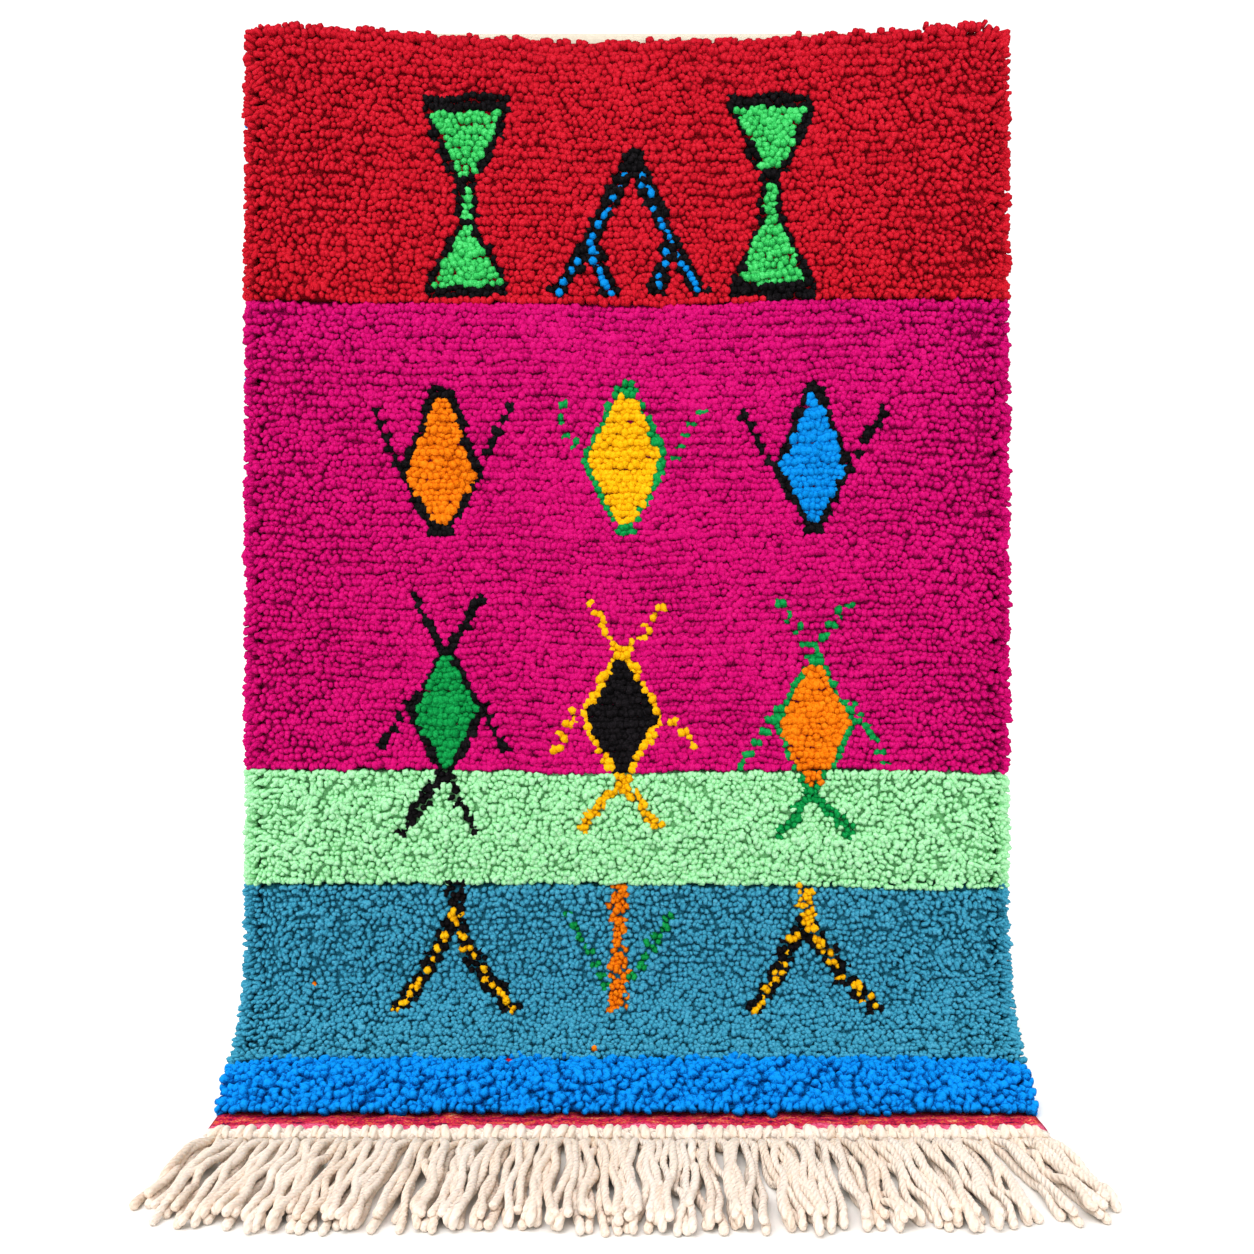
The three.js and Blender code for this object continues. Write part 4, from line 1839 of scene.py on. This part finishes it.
@dataclass
class PileCore:
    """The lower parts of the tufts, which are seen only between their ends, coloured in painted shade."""

    shape: RugShape
    pile: Pile
    foot: FootPile
    under: float = 6.5
    off_cloth: float = 0.3
    columns: int = 50
    edge: tuple[Pair, ...] = ((0, 0.1), (6, 0.45), (14, 0.8), (26, 1.0))
    top_inset: float = 8.0
    inset: float = 0.5
    top_width: float = 30.0
    top_drop: float = 5.0
    foot_rows: int = 12
    foot_lowest: float = 4.5
    foot_half_width: float = 499.0
    foot_edge: tuple[Pair, ...] = ((0, 0.4), (5, 0.75), (12, 0.92), (26, 1.0))

    def band(self, band: Band) -> bpy.types.Object:
        """Fill the lower part of a band.

        Args:
            band: The band.

        Returns:
            The filling, as a closed sheet.
        """
        is_first = band is BANDS[0]
        first = band.start + (self.top_inset if is_first else self.inset)
        down = np.linspace(first, band.end - self.inset, 2 * band.rows + 1)
        out = self.shape.thickness + self.pile.high(band, down) - self.under
        if is_first:
            out -= self.top_drop * np.clip(1 - (down - first) / self.top_width, 0, 1)
        front = np.column_stack(self.shape.profile(down, out))
        rise = self.pile.corner_rise * 0.8 if is_first else 0.0
        form = SheetForm(
            down, front, self.back(down), self.pile.root_half_width, self.columns, self.edge, rise
        )
        return form.build(f"{band.node}_core", self.shape)

    def foot_band(self) -> bpy.types.Object:
        """Fill the lower part of the last band.

        Returns:
            The filling, as a closed sheet.
        """
        share = np.linspace(0, 1, self.foot_rows)
        forward, up = self.foot.along_path(share, self.under)
        front = np.column_stack([forward, np.maximum(up, self.foot_lowest)])
        down = self.foot.start + (self.foot.end - self.foot.start) * share
        form = SheetForm(
            down, front, self.back(down), self.foot_half_width, self.columns, self.foot_edge
        )
        return form.build("pile_blue_core", self.shape)

    def back(self, down: Numbers) -> Numbers:
        """Run the filling's back just off the cloth."""
        return np.column_stack(self.shape.profile(down, self.shape.thickness + self.off_cloth))


@dataclass
class Cord:
    """The middle line of a length of yarn, and how thick and how twisted it is along it."""

    places: Numbers
    radius: Numbers
    twist: Numbers
    shade: Numbers | float = 0.0


@dataclass
class CordMaker:
    """Sweeps a round section, a little pinched at two sides, along cords as one closed mesh.

    The pinch is a share of the section's radius.
    """

    sides: int = 7
    pinch: float = 0.1
    weld: float = 0.2 * MM

    def section(self) -> bpy.types.Object:
        """Draw the section.

        Returns:
            A closed line of radius 1.
        """
        curve = bpy.data.curves.new("ply_section", "CURVE")
        spline = curve.splines.new("POLY")
        spline.points.add(self.sides - 1)
        turn = np.arange(self.sides) * math.tau / self.sides
        reach = 1 - self.pinch + self.pinch * np.abs(np.cos(turn))
        zero = np.zeros(self.sides)
        points = np.column_stack([reach * np.cos(turn), reach * np.sin(turn), zero, zero + 1])
        spline.points.foreach_set("co", points.ravel())
        spline.use_cyclic_u = True
        return new_object("ply_section", curve)

    def make(self, name: str, cords: list[Cord], seed: int) -> bpy.types.Object:
        """Make one piece from cords that all have the same number of places.

        Args:
            name: The piece's name.
            cords: The cords.
            seed: Seed of the cords' shades.

        Returns:
            The piece.
        """
        section = self.section()
        curve = bpy.data.curves.new(name, "CURVE")
        curve.dimensions = "3D"
        curve.bevel_mode = "OBJECT"
        curve.bevel_object = section
        stations = len(cords[0].places)
        for cord in cords:
            spline = curve.splines.new("POLY")
            spline.points.add(stations - 1)
            places = np.column_stack([cord.places, np.ones(stations)])
            spline.points.foreach_set("co", places.ravel())
            spline.points.foreach_set("radius", cord.radius * MM)
            spline.points.foreach_set("tilt", cord.twist)
        mesh = as_mesh(new_object(name, curve), name)
        bpy.data.objects.remove(section)
        self._map(mesh, cords, stations)
        own = np.random.default_rng(seed).normal(0, 0.4, len(cords))
        shades = [np.zeros(stations) + cord.shade + shade for cord, shade in zip(cords, own)]
        set_values(mesh, "shade", np.repeat(np.concatenate(shades), self.sides))
        return new_object(name, self._closed(mesh))

    def _map(self, mesh: bpy.types.Mesh, cords: list[Cord], stations: int) -> None:
        """Map the cords as strips side by side for baking, and by turns and millimetres for plies.

        Args:
            mesh: The mesh of all cords.
            cords: The cords.
            stations: How many places each has.
        """
        vertex = read_all(mesh.loops, "vertex_index", 1, int)
        cord, rest = np.divmod(vertex, stations * self.sides)
        station, side = np.divmod(rest, self.sides)
        face = np.repeat(np.arange(len(mesh.polygons)), [poly.loop_total for poly in mesh.polygons])
        has_last = np.zeros(len(mesh.polygons), bool)
        np.logical_or.at(has_last, face, side == self.sides - 1)
        turn = (side + np.where(has_last[face] & (side == 0), self.sides, 0)) / self.sides
        strips = np.column_stack([(cord + 0.04 + 0.92 * turn) / len(cords), station / (stations - 1)])
        steps = [np.diff(each.places, axis=0, prepend=each.places[:1]) for each in cords]
        length = np.cumsum(np.linalg.norm(steps, axis=2), axis=1)[cord, station]
        set_map(mesh, "OFBake", strips)
        set_map(mesh, "ply", np.column_stack([turn, length / MM]))

    def _closed(self, mesh: bpy.types.Mesh) -> bpy.types.Mesh:
        """Weld each cord's ends, which are drawn in to a point.

        Args:
            mesh: The mesh of all cords.

        Returns:
            The same mesh, closed.
        """
        bm = bmesh.new()
        bm.from_mesh(mesh)
        ends = [vert for vert in bm.verts if vert.is_boundary]
        bmesh.ops.remove_doubles(bm, verts=ends, dist=self.weld)
        bmesh.ops.recalc_face_normals(bm, faces=bm.faces)
        return to_mesh(bm, mesh)


@dataclass
class Fringe:
    """The fringe: a bar along the cloth's end, and plied strands that pass over it in knots.

    Sizes are in millimetres, and a pair is how far forward of the rug's back something starts and
    ends.
    """

    shape: RugShape
    knots: int = 34
    half_width: float = 485.0
    members: tuple[float, ...] = (-4.8, 4.8, 12.0, -8.5, 2.0, -13.0)
    spread: tuple[float, ...] = (-3.0, 4.0, 3.0, -5.0, 5.0, 2.0)
    bar_forward: float = 219.5
    bar_height: float = 7.6
    bar_radius: float = 6.6
    bar_stations: int = 300
    strand_radius: float = 4.9
    strand_stations: int = 35
    tip_stations: tuple[float, ...] = (0.984, 0.995, 1)
    tip_starts: float = 0.972
    start: float = 203.0
    reach: float = 229.0
    laid_from: float = 226.0
    gathers: Pair = (228.0, 268.0)
    spreads: Pair = (232.0, 280.0)
    piles_up: Pair = (228.0, 270.0)
    bar_shade: Pair = (230.0, 250.0)
    long_shade: Pair = (244.0, 300.0)
    touch: float = 1.86
    wrap_stations: int = 12
    random: np.random.Generator = field(default_factory=lambda: np.random.default_rng(71))

    def middle(self, knot: int) -> float:
        """How far across the rug a knot is."""
        return -self.half_width + (knot + 0.5) * (2 * self.half_width / self.knots)

    def roots(self) -> list[tuple[float, float, int]]:
        """List the strands, the lowest layer first.

        Returns:
            Each strand's place across, its knot's lean and its layer.
        """
        rows = []
        for knot in range(self.knots):
            middle = self.middle(knot) + self.random.normal(0, 1.5)
            lean = self.random.normal(0, 8)
            for layer, aside in enumerate(self.members):
                rows.append((middle + aside + self.random.normal(0, 0.7), lean, layer))
        return sorted(rows, key=lambda row: -row[2])

    def strands(self) -> list[Cord]:
        """Lay the strands over the bar and down on the floor, some across others.

        Returns:
            The strands.
        """
        laid: list[Path] = []
        cords = []
        stations = np.linspace(0, self.tip_starts, self.strand_stations)
        stations = np.append(stations, self.tip_stations)
        for across, lean, layer in self.roots():
            cord, path = self._strand(across, lean, layer, stations, laid)
            laid.append(path)
            cords.append(cord)
        return cords

    def _strand(
        self, across: float, lean: float, layer: int, stations: Numbers, laid: list[Path]
    ) -> tuple[Cord, Path]:
        """Lay one strand.

        Args:
            across: Where it starts across the rug.
            lean: How far its knot turns it aside, in millimetres at its tip.
            layer: Its place in the knot, which says how far it stands off the floor.
            stations: Shares of its length.
            laid: The paths of the strands that lie below it.

        Returns:
            The cord, and its path as arrays across, forward and up.
        """
        random = self.random
        share = across / self.half_width
        length = self.reach + 14 * (1 - share**2) - 42 * abs(share) ** 14 + random.normal(0, 8)
        is_over = layer < 2 and random.uniform() < 0.12
        start = self.start + random.uniform(1, 4) if is_over else self.bar_forward + 7
        forward = start + (length + self.start - start) * stations
        past = np.clip((forward - 222) / (self.reach - 24), 0, 1.2)
        aside = (0.03 * across + lean + random.normal(0, 6)) * past
        aside -= 0.6 * self.members[layer] * (1 - smooth_step(forward, *self.gathers))
        aside += self.spread[layer] * smooth_step(forward, *self.spreads)
        wave = random.uniform(1.5, 5.5)
        swing = math.tau * (forward / random.uniform(95, 170) + random.uniform(0, 1))
        x = across + aside + wave * (np.sin(swing) - math.sin(swing[0])) * np.clip(past * 2.2, 0, 1)
        radius = self.strand_radius * random.uniform(0.9, 1.1)
        up = np.maximum(radius * 0.96, self._over_bar(forward, radius, random.uniform(6, 22), is_over))
        up = self._smoothed(self._lifted((x, forward, up), radius, laid), 2)

        # A strand is squeezed at the bar, swells before its cut end and has both ends closed.
        swell = 1 + 0.08 * smooth_step(stations, 0.82, 0.96) + 0.04 * np.sin(stations * 60 + share * 9)
        ends = np.interp(
            stations,
            [0, 0.02, 0.05, self.tip_starts, *self.tip_stations],
            [0, 0.8, 1, 1, 0.95, 0.62, 0],
        )
        swell *= 1 - 0.18 * (1 - smooth_step(forward, self.bar_forward + 10, self.bar_forward + 40))
        turns = np.cumsum(np.hypot(np.gradient(forward), np.gradient(x)))
        twist = turns * math.tau / random.uniform(46, 80) + random.uniform(0, math.tau)
        # Painted shade: the lower strands are painted dark brown under the bar, fading further on, and the
        # upper ones a little.
        under = 4.5 * (1 - smooth_step(forward, *self.bar_shade))
        under = under + 0.7 * (1 - smooth_step(forward, *self.long_shade))
        shade = -(under if layer > 1 else 0.12 * under)
        places = self.shape.standing(x, forward, up)
        return Cord(places, radius * swell * ends, twist, shade), (x, forward, up)

    def _lifted(self, path: Path, radius: float, laid: list[Path]) -> Numbers:
        """Raise a strand where it crosses those below it, as far as the knot piles up.

        Args:
            path: The strand's path.
            radius: Its radius.
            laid: The paths of the strands below it.

        Returns:
            How far above the floor it is.
        """
        x, forward, up = path
        touch = self.touch * radius
        most = radius * np.interp(forward, self.piles_up, (1.2, 3.3))
        for other_x, other_forward, other_up in laid:
            if np.abs(other_x - x).min() > 2.2 * radius:
                continue
            beside = np.abs(x - np.interp(forward, other_forward, other_x))
            rest = np.interp(forward, other_forward, other_up)
            lift = rest + np.sqrt(np.maximum(touch**2 - beside**2, 0))
            meets = (beside < touch) & (forward > self.laid_from) & (forward < other_forward[-1])
            up = np.where(meets, np.maximum(up, np.minimum(lift, most)), up)
        return up

    def _over_bar(self, forward: Numbers, radius: float, run: float, is_over: bool) -> Numbers:
        """Find how high a strand stands where it climbs the bar, or comes out from under it.

        Args:
            forward: How far forward its places are.
            radius: Its radius.
            run: How far it takes to come down again, in millimetres.
            is_over: Whether it lies over the bar.

        Returns:
            How far above the floor it is because of the bar.
        """
        if not is_over:
            return 0 * forward
        top = self.bar_height + self.bar_radius - radius * 0.1
        climb = smooth_step(forward, self.start - 1, self.bar_forward - 6)
        fall = 1 - smooth_step(forward, self.bar_forward + 4, self.bar_forward + 8 + run)
        return radius * 0.8 + (top - radius * 0.8) * climb * fall

    @staticmethod
    def _smoothed(values: Numbers, times: int) -> Numbers:
        """Even out a path, so that yarn bends and does not kink.

        Args:
            values: The heights of its places.
            times: How many times.

        Returns:
            The new heights.
        """
        for _ in range(times):
            values = np.convolve(np.pad(values, 1, mode="edge"), (0.25, 0.5, 0.25), mode="valid")
        return values

    def bar(self) -> list[Cord]:
        """Twist the bar from two cords along the cloth's end.

        Returns:
            The cords.
        """
        last = self.bar_stations - 1
        across = np.linspace(-1, 1, self.bar_stations) * (self.half_width + 6)
        ends = np.interp(np.arange(self.bar_stations), [0, 2, last - 2, last], [0, 1, 1, 0])
        cords = []
        for turn in (0, math.pi):
            phase = across * math.tau / 33 + turn + 0.5 * wander(across, 0 * across, 90, 61)
            forward = self.bar_forward + 5.2 * np.cos(phase)
            up = self.bar_height + 1.6 * np.sin(phase)
            places = self.shape.standing(across, forward, up)
            cords.append(Cord(places, 6.0 * ends, across * math.tau / 16))
        return cords

    def wraps(self) -> list[Cord]:
        """Wrap short lengths round the bar, between the strands of the knots.

        Returns:
            The wraps.
        """
        random = self.random
        stations = np.linspace(0, 1, self.wrap_stations)
        ends = np.interp(stations, [0, 0.12, 0.88, 1], [0, 1, 1, 0])
        turn = math.pi * (1.12 - 1.34 * stations)
        forward = self.bar_forward + 10.6 * np.cos(turn)
        up = np.maximum(self.bar_height + 6.0 * np.sin(turn), 3.4)
        cords = []
        for knot in range(self.knots):
            for aside in (random.uniform(-7.0, -3.5), random.uniform(3.0, 7.5)):
                middle = self.middle(knot) + aside
                x = middle + random.normal(0, 2.5) * (stations - 0.5) * 2
                places = self.shape.standing(x, forward, up)
                radius = random.uniform(4.4, 6.4)
                cords.append(Cord(places, radius * ends, stations * 2 + random.uniform(0, 6)))
        return cords

    def pieces(self) -> list[bpy.types.Object]:
        """Make the strands, the bar and the wraps as three pieces.

        Returns:
            The pieces.
        """
        maker = CordMaker()
        material = PliedWool().material()
        made = [
            maker.make("fringe_strands", self.strands(), 81),
            maker.make("fringe_bar", self.bar(), 82),
            maker.make("fringe_wraps", self.wraps(), 83),
        ]
        for piece in made:
            piece.data.materials.append(material)
        return made


@dataclass
class Studio:
    """The camera at the photograph's angle, a pale floor and plain soft light."""

    shape: RugShape
    lens: float = 37.19
    sensor_width: float = 36.0
    distance: float = 1722.0
    height: float = 597.0
    floor_size: float = 30.0
    sun_strength: float = 2.3
    sun_spread: float = math.radians(50)
    sun_aim: tuple[float, float, float] = (0.35, 0.62, -1.0)

    def camera(self) -> None:
        """Stand the camera level, straight in front of the rug."""
        data = bpy.data.cameras.new("camera")
        data.lens = self.lens
        data.sensor_width = self.sensor_width
        camera = new_object("camera", data)
        camera.location = self.shape.standing(0.0 - self.shape.centre, self.distance, self.height)
        camera.rotation_euler = (math.pi / 2, 0, 0)
        bpy.context.scene.camera = camera

    def floor(self) -> None:
        """Lay a pale matt floor that runs out of view."""
        bm = bmesh.new()
        bmesh.ops.create_grid(bm, x_segments=1, y_segments=1, size=self.floor_size)
        mesh = to_mesh(bm, bpy.data.meshes.new("floor"))
        material = bpy.data.materials.new("matt_white_board")
        material.use_nodes = True
        shader = material.node_tree.nodes["Principled BSDF"]
        shader.inputs["Base Color"].default_value = linear("f4f4f2")
        shader.inputs["Roughness"].default_value = 0.95
        mesh.materials.append(material)
        new_object("floor", mesh)

    def light(self) -> None:
        """Light the rug from all round, and more from above and in front, as a soft box does."""
        world = bpy.data.worlds.new("studio")
        world.use_nodes = True
        tree = world.node_tree
        tree.nodes.clear()
        way = node(tree, "ShaderNodeTexCoord").outputs["Generated"]
        behind = node(tree, "ShaderNodeSeparateXYZ", {0: way}).outputs[1]
        fade = {"Value": behind, "From Min": -0.2, "From Max": 0.35, "To Min": 0.7, "To Max": 1.2}
        strength = node(tree, "ShaderNodeMapRange", fade, interpolation_type="SMOOTHSTEP").outputs[0]
        background = node(tree, "ShaderNodeBackground", {"Color": (1, 1, 1, 1), "Strength": strength})
        node(tree, "ShaderNodeOutputWorld", {0: background.outputs[0]})
        bpy.context.scene.world = world
        data = bpy.data.lights.new("soft_box", "SUN")
        data.energy = self.sun_strength
        data.angle = self.sun_spread
        lamp = new_object("soft_box", data)
        lamp.rotation_euler = Vector(self.sun_aim).to_track_quat("-Z", "Y").to_euler()
        bpy.context.scene.view_settings.view_transform = "Standard"


MOST_TUFTS = 7000
# The filling gets little painted light, so it shows in painted shade.
CORE_PAINTED_LIGHT_SHARE = 0.1
CORE_STRIP = 0.06


def with_core(tufts: bpy.types.Object, core: bpy.types.Object) -> bpy.types.Object:
    """Join the filling of a band to its tufts, as one piece in the tufts' finish.

    Args:
        tufts: The piece of tufts.
        core: The filling, which this deletes.

    Returns:
        The piece of tufts.
    """
    mesh = core.data
    # Painted shade: the filling takes the dark tone of the creases between tufts.
    set_values(mesh, "crown", [CORE_PAINTED_LIGHT_SHARE] * len(mesh.vertices))
    mesh.uv_layers.remove(mesh.uv_layers["weave"])
    mesh.materials.append(tufts.data.materials[0])
    # The filling is hardly seen, so a narrow strip of the map is enough for it.
    for uv in mesh.uv_layers["OFBake"].uv:
        uv.vector = (uv.vector.x * CORE_STRIP + 1 - CORE_STRIP, uv.vector.y)
    bm = bmesh.new()
    bm.from_mesh(tufts.data)
    bm.from_mesh(mesh)
    to_mesh(bm, tufts.data)
    bpy.data.objects.remove(core)
    return tufts


def build_pile(shape: RugShape, chart: Chart) -> None:
    """Tie every tuft and make a piece of each yarn.

    Args:
        shape: The surface of the cloth.
        chart: The yarn of each knot.
    """
    pile = Pile(shape, chart)
    foot = FootPile(shape, chart)
    filling = PileCore(shape, pile, foot)
    tying = TuftTying()
    tied = []
    for band in BANDS:
        tufts = Tufts.joined((pile.band(band), pile.band_sides(band)))
        tied.append((band.node, band.yarn, tufts, filling.band(band)))
    tufts = Tufts.joined((foot.tufts(), foot.foot_sides()))
    tied.append(("pile_blue", foot.yarn, tufts, filling.foot_band()))
    for name, yarn, tufts, core in tied:
        own = tufts.of_yarn(yarn)
        material = YARN_FINISHES[yarn].material()
        parts = ("upper", "lower") if len(own.root) > MOST_TUFTS else ("tufts",)
        for part, rows in zip(parts, np.array_split(np.arange(len(own.root)), len(parts))):
            piece = tying.tie(f"{name}_{part}", own.chosen(rows), material)
            if part != "upper":
                with_core(piece, core)
            join_rug(piece, [name])
    others = [(name, tufts.chosen(tufts.yarn != own.number)) for name, own, tufts, _ in tied]
    others.append(("pile_red", pile.edge_ends(EDGE_ENDS)))
    for yarn in Yarn:
        lots = [(name, tufts.of_yarn(yarn)) for name, tufts in others]
        lots = [(name, tufts) for name, tufts in lots if len(tufts.root)]
        if lots:
            material = YARN_FINISHES[yarn].material()
            joined = Tufts.joined(tufts for _, tufts in lots)
            piece = tying.tie(f"symbols_{yarn.name.lower()}", joined, material)
            join_rug(piece, [name for name, _ in lots])
    tying.put_away()


def build_cloth(shape: RugShape, chart: Chart) -> None:
    """Weave the cloth and knot its fringe.

    Args:
        shape: The surface of the cloth.
        chart: The yarn of each knot.
    """
    cloth = Cloth(shape, chart)
    ground = join_rug(cloth.ground(), ["ground_weave"])
    end = join_rug(cloth.flat_end(), ["ground_weave"])
    for piece in Fringe(shape).pieces():
        join_rug(piece, ["fringe"])


def main() -> None:
    """Build the rug piece by piece, and the studio round it."""
    logging.basicConfig(level=logging.INFO, format="%(name)s: %(message)s")
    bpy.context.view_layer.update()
    low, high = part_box("ground_weave")
    shape = RugShape(centre=(low[0] + high[0]) / 2 / MM, back=high[1] / MM)
    studio = Studio(shape)
    studio.camera()
    studio.floor()
    studio.light()
    chart = Chart()
    build_pile(shape, chart)
    build_cloth(shape, chart)


if __name__ == "__main__":
    main()
